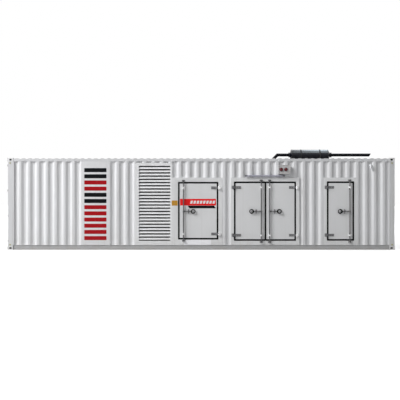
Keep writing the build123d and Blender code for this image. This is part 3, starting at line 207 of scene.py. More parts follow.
def dress(material, *names):
    """Gives CAD nodes their material."""
    for name in names:
        for material_slot in nodes[name].material_slots:
            material_slot.material = material


def merged(node, distance):
    """A copy of a CAD node's mesh in which corners that meet are one."""
    copy = bmesh.new()
    copy.from_mesh(nodes[node].data)
    bmesh.ops.remove_doubles(copy, verts=copy.verts, dist=distance)
    return copy


def as_mesh(shape, name):
    """The mesh of a finished shape."""
    mesh = bpy.data.meshes.new(name)
    shape.to_mesh(mesh)
    shape.free()
    return mesh


def solids(name):
    """The corner points of each solid in a CAD node, in the order of their lowest x, then z, then y."""
    copy = merged(name, SAME_POINT)
    left, found = set(copy.verts), []
    while left:
        group, edge = set(), {left.pop()}
        while edge:
            group |= edge
            edge = {e.other_vert(v) for v in edge for e in v.link_edges} - group
        left -= group
        found.append([v.co.copy() for v in group])
    copy.free()
    return sorted(found, key=lambda points: (round(min(p.x for p in points), 3),
                                             min(p.z for p in points), min(p.y for p in points)))


def boxes(name):
    """The lowest and highest corner of each solid in a CAD node."""
    return [(Vector(min(p[i] for p in points) for i in range(3)),
             Vector(max(p[i] for p in points) for i in range(3))) for points in solids(name)]


def in_scene(name, data):
    """A new object in the scene."""
    made = bpy.data.objects.new(name, data)
    bpy.context.scene.collection.objects.link(made)
    return made


def new_piece(name, mesh, material, body="root"):
    """A piece with its place in its mesh, riding on a body. Its mesh keeps its own materials for None."""
    piece = in_scene(name, mesh)
    if material is not None:
        mesh.materials.clear()
        mesh.materials.append(material)
    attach(piece, body)
    return piece


def polyline_mesh(name, lines, closed=False):
    """A mesh of edges that joins each list of points in order."""
    verts, edges = [], []
    for line in lines:
        start = len(verts)
        verts += [tuple(p) for p in line]
        edges += [(start + i, start + i + 1) for i in range(len(line) - 1)]
        if closed:
            edges.append((start + len(line) - 1, start))
    mesh = bpy.data.meshes.new(name)
    mesh.from_pydata(verts, edges, [])
    return mesh


def worked_out(holder):
    """The plain mesh of an object with its modifiers, and the object gone."""
    result = bpy.data.meshes.new_from_object(holder.evaluated_get(bpy.context.evaluated_depsgraph_get()))
    bpy.data.objects.remove(holder)
    return result


def grown(name, mesh, tree, values):
    """The plain mesh that a tree of geometry nodes makes out of a mesh."""
    grower = in_scene(name, mesh)
    modifier = grower.modifiers.new(tree.name, "NODES")
    modifier.node_group = tree
    for socket in tree.interface.items_tree:
        if socket.in_out == "INPUT" and socket.name in values:
            modifier[socket.identifier] = values[socket.name]
    result = worked_out(grower)
    result.name = name
    return result


def new_tree(name, inputs):
    """A tree of geometry nodes with named inputs, a material and one result."""
    return new_group(name, "GeometryNodeTree", {**inputs, "Material": (MATERIAL, None)},
                     {"Geometry": GEOMETRY})


def end_tree(tree, geometry, given, made, smooth=False):
    """Ends a tree of geometry nodes: its shading, instances made real, and the material set."""
    if smooth:
        geometry = first(tree, "GeometryNodeSetShadeSmooth", {"Geometry": geometry, "Shade Smooth": True})
    real = first(tree, "GeometryNodeRealizeInstances", {0: geometry})
    coloured = first(tree, "GeometryNodeSetMaterial", {"Geometry": real, "Material": given["Material"]})
    tree.links.new(coloured, made["Geometry"])


def rounded_curve(tree, lines, radius, steps):
    """Lines of edges as curves with rounded corners."""
    line = first(tree, "GeometryNodeMeshToCurve", {0: lines})
    return first(tree, "GeometryNodeFilletCurve", {
        "Curve": line, "Radius": radius, "Limit Radius": True, "Count": steps}, mode="POLY")


def build_folded_sheet():
    """A sheet pressed along fold lines: the lines' corners rounded, then drawn out to its full length."""
    tree, given, made = new_tree("folded_sheet", {
        "Fold lines": (GEOMETRY, None), "Fold radius": (NUMBER, FOLD_RADIUS), "Draw": (VECTOR, (0, 0, 1))})
    rounded = rounded_curve(tree, given["Fold lines"], given["Fold radius"], FOLD_STEPS)
    edge = first(tree, "GeometryNodeCurveToMesh", {"Curve": rounded})
    sheet = put(tree, "GeometryNodeExtrudeMesh", {"Mesh": edge, "Offset": given["Draw"], "Offset Scale": 1.0},
                mode="EDGES")
    end_tree(tree, sheet.outputs["Mesh"], given, made, smooth=True)
    return tree


def build_bead():
    """A round bar or weld bead that follows lines."""
    tree, given, made = new_tree("bead", {
        "Lines": (GEOMETRY, None), "Radius": (NUMBER, BEAD_RADIUS), "Corner radius": (NUMBER, 0.0),
        "Sides": (WHOLE, 6)})
    rounded = rounded_curve(tree, given["Lines"], given["Corner radius"], BEAD_STEPS)
    section = first(tree, "GeometryNodeCurvePrimitiveCircle", {
        "Resolution": given["Sides"], "Radius": given["Radius"]})
    bar = first(tree, "GeometryNodeCurveToMesh", {
        "Curve": rounded, "Profile Curve": section, "Fill Caps": True})
    end_tree(tree, bar, given, made, smooth=True)
    return tree


folded_sheet = build_folded_sheet()
bead = build_bead()


def beads(name, lines, material, slot, body="root", closed=False, **values):
    """A piece made of round bars or weld beads that follow lines."""
    mesh = grown(name, polyline_mesh(name, lines, closed), bead, {**spaced(values), "Material": material})
    new_piece(name, mesh, material, body)


def fold_line(points, along, out, left, right):
    """The outer corners of a folded sheet between two places, each as (place, how far out)."""
    side = 1 if sum(p[out] for p in points) > 0 else -1
    top = max(p.z for p in points)
    outer = {}
    for p in points:
        if abs(p.z - top) < SAME_LEVEL:
            place = round(p[along], 4)
            outer[place] = max(outer.get(place, -math.inf), p[out] * side)
    corners = sorted(outer.items())

    def out_at(place):
        for (x0, y0), (x1, y1) in zip(corners, corners[1:]):
            if x0 <= place <= x1:
                return y0 + (y1 - y0) * (place - x0) / (x1 - x0)
        return corners[0][1] if place < corners[0][0] else corners[-1][1]

    inside = [corner for corner in corners if left + CLEAR_OF_END < corner[0] < right - CLEAR_OF_END]
    line = [(left, out_at(left)), *inside, (right, out_at(right))]
    return [(place, side * reach) for place, reach in line]


def smoothed(mesh, angle):
    """A mesh shaded smooth, with its edges sharp from an angle upwards."""
    for polygon in mesh.polygons:
        polygon.use_smooth = True
    mesh.set_sharp_from_angle(angle=math.radians(angle))
    return mesh


def thickened(mesh, thickness, angle=35):
    """A sheet given its thickness behind its face, with smooth folds and sharp rims."""
    holder = in_scene(mesh.name, mesh)
    solid = holder.modifiers.new("thickness", "SOLIDIFY")
    solid.thickness = thickness
    solid.offset = -1
    return smoothed(worked_out(holder), angle)


def turned_out(shape, axis, way):
    """Turns the faces of a sheet that look the wrong way along an axis."""
    bmesh.ops.reverse_faces(shape, faces=[face for face in shape.faces if face.normal[axis] * way < 0])


def wall_sheets(name, node, along, out, spans):
    """Corrugated sheets over the given (left, right, bottom, top) spans, and their weld beads."""
    points = [p for solid in solids(node) for p in solid]
    joined, weld_lines = bmesh.new(), []
    for left, right, bottom, top in spans:
        line = []
        for place, reach in fold_line(points, along, out, left, right):
            corner = [0.0, 0.0, bottom]
            corner[along], corner[out] = place, reach
            line.append(corner)
        joined.from_mesh(grown(name, polyline_mesh(name, [line]), folded_sheet, {
            "Fold radius": FOLD_RADIUS, "Draw": (0.0, 0.0, top - bottom), "Material": container_paint}))
        weld_lines.append(line)
    turned_out(joined, out, 1 if points[0][out] > 0 else -1)
    pressed = thickened(as_mesh(joined, name), SHEET_THICKNESS)
    sheet = new_piece(name, pressed, container_paint)
    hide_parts(node)
    beads(f"{name}_welds", weld_lines, container_paint, SLOT_OF[node], Radius=BEAD_RADIUS,
          Corner_radius=FOLD_RADIUS)


container_paint = painted("container_paint", WHITE)
rail_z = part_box("top_side_rails")[0].z
openings = [*boxes("front_door_frames"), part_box("front_louvre")]
for side in ("front", "back"):
    wall_sheets(f"{side}_wall_sheets", f"{side}_side_panels", 0, 1,
                [(low.x, high.x, low.z, high.z) for low, high in boxes(f"{side}_side_panels")])
    wall_sheets(f"{side}_sheets_over_doors", f"{side}_panels_over_doors", 0, 1,
                [(low.x, high.x, high.z, rail_z) for low, high in openings])
wall_sheets("right_end_sheets", "right_end_panels", 1, 0,
            [(low.y, high.y, low.z, high.z) for low, high in boxes("right_end_panels")])


# The welded frame: corner posts folded from 6 mm plate, box-section rails, sills and headers, and the
# pressed roof sheet, all white like the walls but for the roof, which is a darker grey: partly dust
# and partly painted shade that tones down its lit top. Their long edges keep the folding radius.
MERGE = 0.00003
FLAT_ANGLE = 0.5
EDGE_ANGLE = 30


def softened(node, width, material, segments=2):
    """A merged copy of a CAD node with rounded edges, which stands in for it."""
    copy = merged(node, MERGE)
    bmesh.ops.dissolve_limit(copy, angle_limit=math.radians(FLAT_ANGLE), verts=copy.verts, edges=copy.edges)
    mesh = smoothed(as_mesh(copy, f"{node}_finished"), EDGE_ANGLE)
    piece = new_piece(f"{node}_finished", mesh, material, BODY_OF[node])
    edges = piece.modifiers.new("edges", "BEVEL")
    edges.width = width
    edges.segments = segments
    edges.limit_method = "ANGLE"
    edges.angle_limit = math.radians(EDGE_ANGLE)
    edges.harden_normals = True
    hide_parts(node)
    return piece


post_paint = painted("post_paint", (0.615, 0.62, 0.635), Streaks=0.35)
for node, radius in (("corner_posts", 0.007), ("top_side_rails", 0.006), ("end_sills_and_headers", 0.006)):
    softened(node, radius, post_paint)
# The roof grey: dust, and painted shade that tones down its lit top.
roof_dust_and_shade_paint = painted("roof_dust_and_shade_paint", (0.52, 0.52, 0.52), coat=0.0, Streaks=0.45, Base_roughness=0.55)
dress(roof_dust_and_shade_paint, "roof_panel")


# Bottom rails. The long rails under the walls take the most road dirt and read greyer than the walls.
# Their upper lips, where the sheets are welded on, are as white as the walls. Their lower lips are
# dark, partly with grime where loading has scraped the paint off, and partly as painted shade for
# the shadow line where the rail meets the ground.
UPPER_LIP_FROM = 0.1515
LOWER_LIP_TOP = 0.030
rail_paint = painted("rail_paint", (0.405, 0.41, 0.42), Dust_amount=0.55, Dust_height=0.30, Streaks=0.15,
                     Chips=0.35)
grime_and_shade_paint = painted("grime_and_shade_paint", (0.13, 0.125, 0.12), coat=0.0, Dust_amount=0.4, Dust_height=0.2,
                      Chips=0.5)


def part_painted(piece, material, belongs):
    """Gives a second material to the faces of a piece whose middles pass a test."""
    piece.data.materials.append(material)
    for polygon in piece.data.polygons:
        if belongs(polygon.center):
            polygon.material_index = len(piece.data.materials) - 1


rails = softened("bottom_side_rails", 0.004, rail_paint)
# The lower lip: grime and painted shade, near black.
part_painted(rails, grime_and_shade_paint, lambda p: p.z < LOWER_LIP_TOP)
part_painted(rails, container_paint, lambda p: p.z > UPPER_LIP_FROM)


# Corner castings. Cast steel blocks with an aperture in each outer face, rough from the mould under
# the white paint, with the rims of the apertures rubbed down to primer by twistlocks. Their inner
# faces are painted near black as painted shade for the inside of the apertures.
CASTING_SKIN = 0.004
CASTING_SIZE = (0.178, 0.162, 0.118)
casting_paint = painted("casting_paint", (0.72, 0.725, 0.73), Dust_amount=0.3, Dust_height=1.2,
                        Waviness=0.004, Base_roughness=0.5, Chips=0.75)
casting_inside_shade = painted("casting_inside_shade", (0.006, 0.006, 0.006), coat=0.0, specular=0.1, Streaks=0.1,
                         Dust_amount=0.1, Base_roughness=0.7)
casting_low, casting_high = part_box("corner_castings")


def inside_casting(place):
    """Whether a place lies deeper than the skin of the block that it belongs to."""
    for i, size in enumerate(CASTING_SIZE):
        from_outside = min(place[i] - casting_low[i], casting_high[i] - place[i])
        if not CASTING_SKIN < from_outside < size - CASTING_SKIN:
            return False
    return True


# The inner faces of the castings get the near-black painted shade.
part_painted(softened("corner_castings", 0.004, casting_paint), casting_inside_shade, inside_casting)


# Earthing bosses. A small turned boss of brass on each corner post, bare of paint and tarnished, to
# which the cable that earths the box is screwed.
def mottled(name, scale, detail, one, other, rough=None, **constants):
    """A material whose colour, and roughness if given, goes from one value to another by noise."""
    material, tree, shader = new_material(name, **constants)
    grain = noise(tree, object_place(tree), scale, detail)
    tree.links.new(blend(tree, grain, (*one, 1), (*other, 1)), shader["Base Color"])
    if rough is not None:
        tree.links.new(ranged(tree, grain, 0.0, 1.0, *rough), shader["Roughness"])
    return material, tree, shader, grain


earthing_brass = mottled("earthing_brass", 90, 5, (0.26, 0.25, 0.07), (0.50, 0.47, 0.18), Metallic=1.0,
                         Roughness=0.35)[0]
softened("earthing_bosses", 0.001, earthing_brass)


# Louvres. A steel plate with a deep-framed opening of sloped rain blades, screwed round its edge to
# the wall frame. A welded wire mesh behind the blades keeps birds out, and a quilted black mat of
# glass wool behind the mesh keeps dust out and noise in.
MAT_THICKNESS = 0.025
MAT_BEHIND = 0.014
MAT_QUILT = 0.11
MAT_PILLOW = 0.009
MAT_STEPS = 4
MAT_FULLNESS = 0.6
MAT_LEFT, MAT_EDGE, MAT_FOOT = 0.07, 0.03, 0.05
MESH_SPACING = 0.025
MESH_WIRE = 0.0012
MESH_LEFT, MESH_FOOT, MESH_NARROWER, MESH_SHORTER = 0.12, 0.11, 0.16, 0.2
SCREW_PITCH = 0.36
SCREW_INSET = 0.030
HEAD_RADIUS, HEAD_HEIGHT = 0.009, 0.006
WASHER_RADIUS, WASHER_THICKNESS = 0.0135, 0.0018
FACING = {"front": (math.pi / 2, 0, 0), "back": (-math.pi / 2, 0, 0), "up": (0, 0, 0),
          "right": (0, math.pi / 2, 0), "left": (0, -math.pi / 2, 0)}
louvre_paint = painted("louvre_paint", (0.76, 0.765, 0.775), Dust_amount=0.3, Streaks=0.2)
dark_wire = mottled("dark_wire", 30, 3, (0.03, 0.03, 0.03), (0.10, 0.098, 0.095), Roughness=0.6)[0]
mat_wool, tree, shader, wool_fibres = mottled(
    "mat_wool", 160, 3, (0.006, 0.006, 0.006), (0.022, 0.021, 0.02), Roughness=1.0, Specular_IOR_Level=0.1)
wool_bump = first(tree, "ShaderNodeBump", {"Height": wool_fibres, "Distance": 0.002, "Strength": 0.8})
tree.links.new(wool_bump, shader["Normal"])
zinc, tree, shader, _ = mottled("zinc", 22, 6, (0.50, 0.50, 0.49), (0.33, 0.33, 0.34), Metallic=0.9)
spangle = put(tree, "ShaderNodeTexVoronoi", {"Vector": object_place(tree), "Scale": 140}).outputs["Color"]
tree.links.new(ranged(tree, spangle, 0.0, 1.0, 0.34, 0.5), shader["Roughness"])


def together(tree, shapes):
    """Shapes as one."""
    joined = put(tree, "GeometryNodeJoinGeometry")
    for shape in shapes:
        tree.links.new(shape, joined.inputs[0])
    return joined.outputs[0]


def build_bird_mesh():
    """A welded wire mesh in the X-Z plane from the corner of its frame: upright wires, then level ones."""
    tree, given, made = new_tree("bird_mesh", {
        "Corner": (GEOMETRY, None), "Width": (NUMBER, 1.0), "Height": (NUMBER, 1.0),
        "Spacing": (NUMBER, MESH_SPACING), "Wire": (NUMBER, MESH_WIRE)})
    wires = []
    for run, step, run_axis, step_axis in (("Height", "Width", "Z", "X"), ("Width", "Height", "X", "Z")):
        count = maths(tree, "DIVIDE", given[step], given["Spacing"])
        end = first(tree, "ShaderNodeCombineXYZ", {run_axis: given[run]})
        gap = first(tree, "ShaderNodeCombineXYZ", {step_axis: given["Spacing"]})
        line = first(tree, "GeometryNodeCurvePrimitiveLine", {"Start": (0, 0, 0), "End": end})
        section = first(tree, "GeometryNodeCurvePrimitiveCircle", {"Resolution": 4, "Radius": given["Wire"]})
        wire = first(tree, "GeometryNodeCurveToMesh", {"Curve": line, "Profile Curve": section})
        places = first(tree, "GeometryNodeMeshLine", {"Count": count, "Offset": gap}, mode="OFFSET")
        wires.append(first(tree, "GeometryNodeInstanceOnPoints", {"Points": places, "Instance": wire}))
    placed = first(tree, "GeometryNodeInstanceOnPoints", {
        "Points": given["Corner"], "Instance": together(tree, wires)})
    end_tree(tree, placed, given, made)
    return tree


def build_bolt_heads():
    """A hexagon head on a washer at each point, all facing one way and each turned by chance."""
    tree, given, made = new_tree("bolt_heads", {
        "Places": (GEOMETRY, None), "Facing": (VECTOR, (0, 0, 0)), "Head radius": (NUMBER, HEAD_RADIUS),
        "Head height": (NUMBER, HEAD_HEIGHT), "Washer radius": (NUMBER, WASHER_RADIUS), "Seed": (WHOLE, 1)})
    washer = first(tree, "GeometryNodeMeshCylinder", {
        "Vertices": 16, "Radius": given["Washer radius"], "Depth": WASHER_THICKNESS})
    head = first(tree, "GeometryNodeMeshCylinder", {
        "Vertices": 6, "Radius": given["Head radius"], "Depth": given["Head height"]})
    half_head = maths(tree, "MULTIPLY_ADD", given["Head height"], 0.5, WASHER_THICKNESS)
    lift = first(tree, "ShaderNodeCombineXYZ", {"Z": half_head})
    raised = [first(tree, "GeometryNodeTransform", {"Geometry": shape, "Translation": height})
              for shape, height in ((head, lift), (washer, (0, 0, WASHER_THICKNESS / 2)))]
    placed = first(tree, "GeometryNodeInstanceOnPoints", {
        "Points": given["Places"], "Instance": together(tree, raised), "Rotation": given["Facing"]})
    turn = first(tree, "FunctionNodeRandomValue", {"Max": (0, 0, math.tau), "Seed": given["Seed"]},
                 data_type="FLOAT_VECTOR")
    turned = first(tree, "GeometryNodeRotateInstances", {
        "Instances": placed, "Rotation": turn, "Local Space": True})
    end_tree(tree, turned, given, made)
    return tree


bird_mesh = build_bird_mesh()
bolt_heads = build_bolt_heads()


def points_mesh(name, places):
    """A mesh of loose points."""
    mesh = bpy.data.meshes.new(name)
    mesh.from_pydata([tuple(place) for place in places], [], [])
    return mesh


def bolts(name, places, facing, seed, body="root", material=zinc, size=1.0):
    """A piece made of bolt heads at places, facing one way and riding on a body."""
    mesh = grown(name, points_mesh(name, places), bolt_heads, {
        "Facing": FACING[facing], "Head radius": HEAD_RADIUS * size, "Head height": HEAD_HEIGHT * size,
        "Washer radius": WASHER_RADIUS * size, "Seed": seed, "Material": material})
    new_piece(name, mesh, material, body)


def along_edges(low, high, across=0):
    """Places of screws round the edge of a plate in the X-Z plane, or Y-Z when across is 1."""
    left, right = low[across] + SCREW_INSET, high[across] - SCREW_INSET
    bottom, top = low.z + SCREW_INSET, high.z - SCREW_INSET
    wide = max(1, round((right - left) / SCREW_PITCH))
    tall = max(1, round((top - bottom) / SCREW_PITCH))
    ring = [(left + (right - left) * i / wide, z) for i in range(wide + 1) for z in (bottom, top)]
    ring += [(x, bottom + (top - bottom) * i / tall) for i in range(1, tall) for x in (left, right)]
    return ring


def quilted_mat(name, along, across, left, right, bottom, top, face, inward):
    """A quilted mat in a wall, from left to right, whose pillows bulge out between its stitch lines."""
    wide = max(1, round((right - left) / MAT_QUILT)) * MAT_STEPS
    tall = max(1, round((top - bottom) / MAT_QUILT)) * MAT_STEPS
    quilt = bmesh.new()
    rows = []
    for i in range(wide + 1):
        column = []
        for j in range(tall + 1):
            bulge = math.sin(math.pi * i / MAT_STEPS) * math.sin(math.pi * j / MAT_STEPS)
            corner = [0.0, 0.0, bottom + (top - bottom) * j / tall]
            corner[along] = left + (right - left) * i / wide
            corner[across] = face - inward * MAT_PILLOW * abs(bulge) ** MAT_FULLNESS
            column.append(quilt.verts.new(corner))
        rows.append(column)
    for i in range(wide):
        for j in range(tall):
            quilt.faces.new((rows[i][j], rows[i + 1][j], rows[i + 1][j + 1], rows[i][j + 1]))
    quilt.normal_update()
    turned_out(quilt, across, -inward)
    new_piece(name, thickened(as_mesh(quilt, name), MAT_THICKNESS, 60), mat_wool)


for side in ("front", "back"):
    dress(louvre_paint, f"{side}_louvre")
    low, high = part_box(f"{side}_louvre")
    outer, inner, inward = (low.y, high.y, 1) if side == "front" else (high.y, low.y, -1)
    quilted_mat(f"{side}_louvre_mat", 0, 1, low.x + MAT_LEFT, high.x - MAT_EDGE, low.z + MAT_FOOT,
                high.z - MAT_EDGE, inner + inward * MAT_BEHIND, inward)
    bolts(f"{side}_louvre_screws", [(x, outer, z) for x, z in along_edges(low, high)], side, seed=3,
          material=louvre_paint, size=0.8)
    corner = points_mesh("corner", [(low.x + MESH_LEFT, inner, low.z + MESH_FOOT)])
    wires = grown(f"{side}_louvre_mesh", corner, bird_mesh, {
        "Width": high.x - low.x - MESH_NARROWER, "Height": high.z - low.z - MESH_SHORTER,
        "Spacing": MESH_SPACING, "Wire": MESH_WIRE, "Material": dark_wire})
    new_piece(f"{side}_louvre_mesh", wires, dark_wire)
dress(louvre_paint, "right_end_louvre")
low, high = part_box("right_end_louvre")
bolts("end_louvre_screws", [(high.x, y, z) for y, z in along_edges(low, high, across=1)], "right", seed=4,
      material=louvre_paint, size=0.8)
quilted_mat("end_louvre_mat", 1, 0, low.y + MAT_FOOT, high.y - MAT_FOOT, low.z + MAT_FOOT,
            high.z - MAT_EDGE, low.x - MAT_BEHIND, -1)


# Earthing nuts. A brass nut with a washer on each boss of the posts, tightened by hand, so that each
# stands at an angle of its own.
for side, facing in ((-1, "front"), (1, "back")):
    places = [((low.x + high.x) / 2, side * max(abs(low.y), abs(high.y)), (low.z + high.z) / 2)
              for low, high in boxes("earthing_bosses") if (low.y + high.y) * side > 0]
    bolts(f"{facing}_earthing_nuts", places, facing, seed=18, material=earthing_brass, size=1.55)


# Door frames. Flat plate frames welded into the corrugation, each with a stop behind the leaf, and a
# bright sill plate under the wide door.
frame_paint = painted("frame_paint", (0.72, 0.725, 0.735), Dust_amount=0.35, Streaks=0.2, Waviness=0.0015)
softened("front_door_frames", 0.004, frame_paint)
softened("back_door_frames", 0.004, frame_paint)
sill_paint = painted("sill_paint", (0.90, 0.90, 0.93), coat=0.3, Dust_amount=0.1, Streaks=0.08)
softened("door_sill_plate", 0.0008, sill_paint)


# Door leaves. Each is a flat 50 mm sandwich of sheet steel round mineral wool, sprayed in the white of
# the walls, slightly greyer with handling.
DOORS = ("wide_door", "double_door_left", "double_door_right", "narrow_door")
door_paint = painted("door_paint", (0.69, 0.695, 0.705), Dust_amount=0.3, Streaks=0.12, Waviness=0.0012)
for door in DOORS:
    softened(f"{door}_leaf", 0.003, door_paint)
dress(door_paint, "back_doors")


# Door seals. Black extruded rubber round each leaf, with a round lip along the leaf and one that
# fills the gap to the frame, or to the other leaf's lip where two leaves meet.
LIP_RADIUS = 0.0065
LIP_CORNER = 0.012
LIP_OVER_GAP = 0.0013
LIP_SHORT_OF_MEETING = 0.002
LIP_OVER_LEAF = 0.002
seal_rubber = mottled("seal_rubber", 9, 6, (0.002, 0.002, 0.002), (0.008, 0.008, 0.009), rough=(0.5, 0.8),
                      IOR=1.45, Specular_IOR_Level=0.08)[0]
for door in DOORS:
    low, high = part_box(f"{door}_seal")
    panel_low, panel_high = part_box(f"{door}_leaf")
    dress(seal_rubber, f"{door}_seal")
    over_left = -LIP_SHORT_OF_MEETING if door == "double_door_right" else LIP_OVER_GAP
    over_right = -LIP_SHORT_OF_MEETING if door == "double_door_left" else LIP_OVER_GAP
    loops = [[(left, low.y, bottom), (right, low.y, bottom), (right, low.y, top), (left, low.y, top)]
             for left, right, bottom, top in (
                 (low.x - over_left, high.x + over_right, low.z - LIP_OVER_GAP, high.z + LIP_OVER_GAP),
                 (panel_low.x + LIP_OVER_LEAF, panel_high.x - LIP_OVER_LEAF,
                  panel_low.z + LIP_OVER_LEAF, panel_high.z - LIP_OVER_LEAF))]
    beads(f"{door}_seal_lips", loops, seal_rubber, "seal_rubber", door, closed=True, Radius=LIP_RADIUS,
          Corner_radius=LIP_CORNER, Sides=10)
dress(seal_rubber, "back_door_seals", "end_door_seals")


# Hinges and lock gear. Pressed and forged steel, zinc plated and greyed by weather: strap hinges on
# lugs, round rods in bored guides, cams in keepers, and a lever that drops into a catch, with its ring
# dipped in black rubber.
GRIP_FROM_ROD = 0.214
LEVER_FROM_ROD = 0.030
BARREL_REACH = 0.026
GUIDE_REACH = 0.045
LUG_REACH = 0.06
DIP_THICKNESS = 0.003
STRAP_LEAST_LENGTH = 0.2
CATCH_LEAST_HEIGHT = 0.16
STRAP_FACE, PLATE_FACE = 0.008, 0.006
STRAP_BOLTS = (0.028, 0.083, 0.138)
CATCH_BOLTS = 0.062
GUIDE_BOLTS = (0.017, 0.036)
KEEPER_BOLT_INSET = 0.012
LUG_BOLT_INSET, LUG_BOLTS = 0.013, 0.034
strap_steel = painted("strap_steel", (0.13, 0.132, 0.14), coat=0.0, Dust_amount=0.2, Streaks=0.35,
                      Base_roughness=0.45, Chips=0.4)
rod_steel = painted("rod_steel", (0.085, 0.086, 0.092), coat=0.0, specular=0.35, Dust_amount=0.2,
                    Streaks=0.45, Base_roughness=0.38)
lever_steel = painted("lever_steel", (0.12, 0.12, 0.125), coat=0.0, Dust_amount=0.2, Streaks=0.3,
                      Base_roughness=0.42)
grip_paint = painted("grip_paint", (0.004, 0.004, 0.005), coat=0.0, specular=0.08, Streaks=0.1,
                     Dust_amount=0.0, Base_roughness=0.5)
bright_zinc = mottled("bright_zinc", 60, 4, (0.98, 0.98, 0.98), (0.86, 0.86, 0.87), rough=(0.12, 0.28),
                      Metallic=1.0)[0]
axis_of = {joint["child"]: joint["pos_m"] for joint in record["behaviour"]["joints"]}


def dipped_grip(door, rod_x):
    """The black rubber skin on the ring of a lever, closed against the steel at its rim."""
    skin = merged(f"{door}_lock", MERGE)
    bare = [face for face in skin.faces if abs(face.calc_center_median().x - rod_x) <= GRIP_FROM_ROD]
    bmesh.ops.delete(skin, geom=bare, context="FACES")
    skin.normal_update()
    steel_under = {}
    for vert in skin.verts:
        steel = vert.co.copy()
        vert.co += vert.normal * DIP_THICKNESS
        steel_under[tuple(round(c, 6) for c in vert.co)] = steel
    rim = [edge for edge in skin.edges if edge.is_boundary]
    for vert in bmesh.ops.extrude_edge_only(skin, edges=rim)["geom"]:
        if isinstance(vert, bmesh.types.BMVert):
            vert.co = steel_under.get(tuple(round(c, 6) for c in vert.co), vert.co)
    bmesh.ops.recalc_face_normals(skin, faces=skin.faces)
    mesh = smoothed(as_mesh(skin, f"{door}_grip"), 40)
    new_piece(f"{door}_grip", mesh, grip_paint, f"{door}_lock")


for door in DOORS:
    hinge_x, rod_x = axis_of[door][0], axis_of[f"{door}_lock"][0]
    lock = softened(f"{door}_lock", 0.0015, rod_steel)
    part_painted(lock, lever_steel, lambda p: LEVER_FROM_ROD < abs(p.x - rod_x) <= GRIP_FROM_ROD)
    part_painted(lock, grip_paint, lambda p: abs(p.x - rod_x) > GRIP_FROM_ROD)
    dipped_grip(door, rod_x)
    fittings = softened(f"{door}_fittings", 0.0015, strap_steel)
    part_painted(fittings, bright_zinc, lambda p: abs(p.x - rod_x) < GUIDE_REACH)
    # Only right-hinged doors get bright zinc barrels: partly plating, partly a painted highlight for the
    # light they catch.
    if hinge_x > rod_x:
        part_painted(fittings, bright_zinc, lambda p: abs(p.x - hinge_x) < BARREL_REACH)
    face_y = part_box(f"{door}_leaf")[0].y
    door_bolts = []
    for low, high in boxes(f"{door}_fittings"):
        middle = (low + high) / 2
        if high.x - low.x > STRAP_LEAST_LENGTH:
            tip, inwards = (low.x, 1) if hinge_x > rod_x else (high.x, -1)
            door_bolts += [(tip + inwards * reach, face_y - STRAP_FACE, middle.z) for reach in STRAP_BOLTS]
        elif high.z - low.z > CATCH_LEAST_HEIGHT:
            door_bolts += [(middle.x, face_y - PLATE_FACE, middle.z + z) for z in (-CATCH_BOLTS, CATCH_BOLTS)]
        else:
            wide, tall = GUIDE_BOLTS
            door_bolts += [(middle.x + x, face_y - PLATE_FACE, middle.z + z) for x in (-wide, wide)
                           for z in (-tall, tall)]
    bolts(f"{door}_bolts", door_bolts, "front", seed=DOORS.index(door), body=door, size=0.75)

lugs = softened("front_hinge_lugs", 0.001, strap_steel, segments=1)
# The lugs by the right-hinged doors are bright zinc: partly plating, partly a painted highlight.
right_hinges = [axis_of[door][0] for door in DOORS if axis_of[door][0] > axis_of[f"{door}_lock"][0]]
part_painted(lugs, bright_zinc, lambda p: any(abs(p.x - x) < LUG_REACH for x in right_hinges))
softened("front_lock_keepers", 0.0015, strap_steel)
plate_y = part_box("front_door_frames")[0].y - PLATE_FACE
bolts("keeper_bolts", [(x, plate_y, (low.z + high.z) / 2) for low, high in boxes("front_lock_keepers")
                       for x in (low.x + KEEPER_BOLT_INSET, high.x - KEEPER_BOLT_INSET)],
      "front", seed=9, size=0.7)
lug_bolts = []
for low, high in boxes("front_hinge_lugs"):
    middle = (low + high) / 2
    barrel_x = min((axis_of[door][0] for door in DOORS), key=lambda x: abs(x - middle.x))
    pad_x = high.x - LUG_BOLT_INSET if barrel_x < middle.x else low.x + LUG_BOLT_INSET
    lug_bolts += [(pad_x, plate_y, middle.z + z) for z in (-LUG_BOLTS, LUG_BOLTS)]
bolts("lug_bolts", lug_bolts, "front", seed=10, size=0.75)
dress(strap_steel, "back_door_hardware")


# Alarm lamps, lighting and vent over the doors: a strip light with moulded caps and wire clips, an
# enamelled alarm box with two red lenses, and a steel vent elbow. Each lens is moulded with a ring of
# flutes round its side and steps across its front, and sits in a dark bezel.
BEZEL = ((0.0, 0.060), (0.0125, 0.060), (0.0145, 0.058), (0.0145, 0.0535), (0.010, 0.0535))
LENS_SIDE = ((0.010, 0.0525), (0.020, 0.0515), (0.027, 0.0480))
LENS_FRONT = ((0.0305, 0.042), (0.0295, 0.039), (0.0328, 0.034), (0.0315, 0.031), (0.0340, 0.025),
              (0.0325, 0.022), (0.0340, 0.015), (0.0325, 0.012), (0.0335, 0.005), (0.0335, 0.0001))
FLUTES, FLUTE_DEPTH, TURNS = 18, 0.02, 72
CLIP_SHARES = (0.06, 0.35, 0.65, 0.94)
CLIP_STAND_OFF = 0.002
ALARM_SCREW_INSET, ALARM_SCREW_DROP = 0.009, 0.268
VENT_FLANGE, VENT_BOLT_DROP, VENT_BOLTS = 0.003, 0.055, (0.023, 0.045)
light_plastic = painted("light_plastic", (0.30, 0.30, 0.36), coat=0.3, Streaks=0.1, Base_roughness=0.3)
dark_plastic = painted("dark_plastic", (0.09, 0.09, 0.11), coat=0.1, Streaks=0.1, Base_roughness=0.45)
alarm_enamel = painted("alarm_enamel", (0.50, 0.49, 0.49), coat=0.3, Streaks=0.2, Base_roughness=0.3)
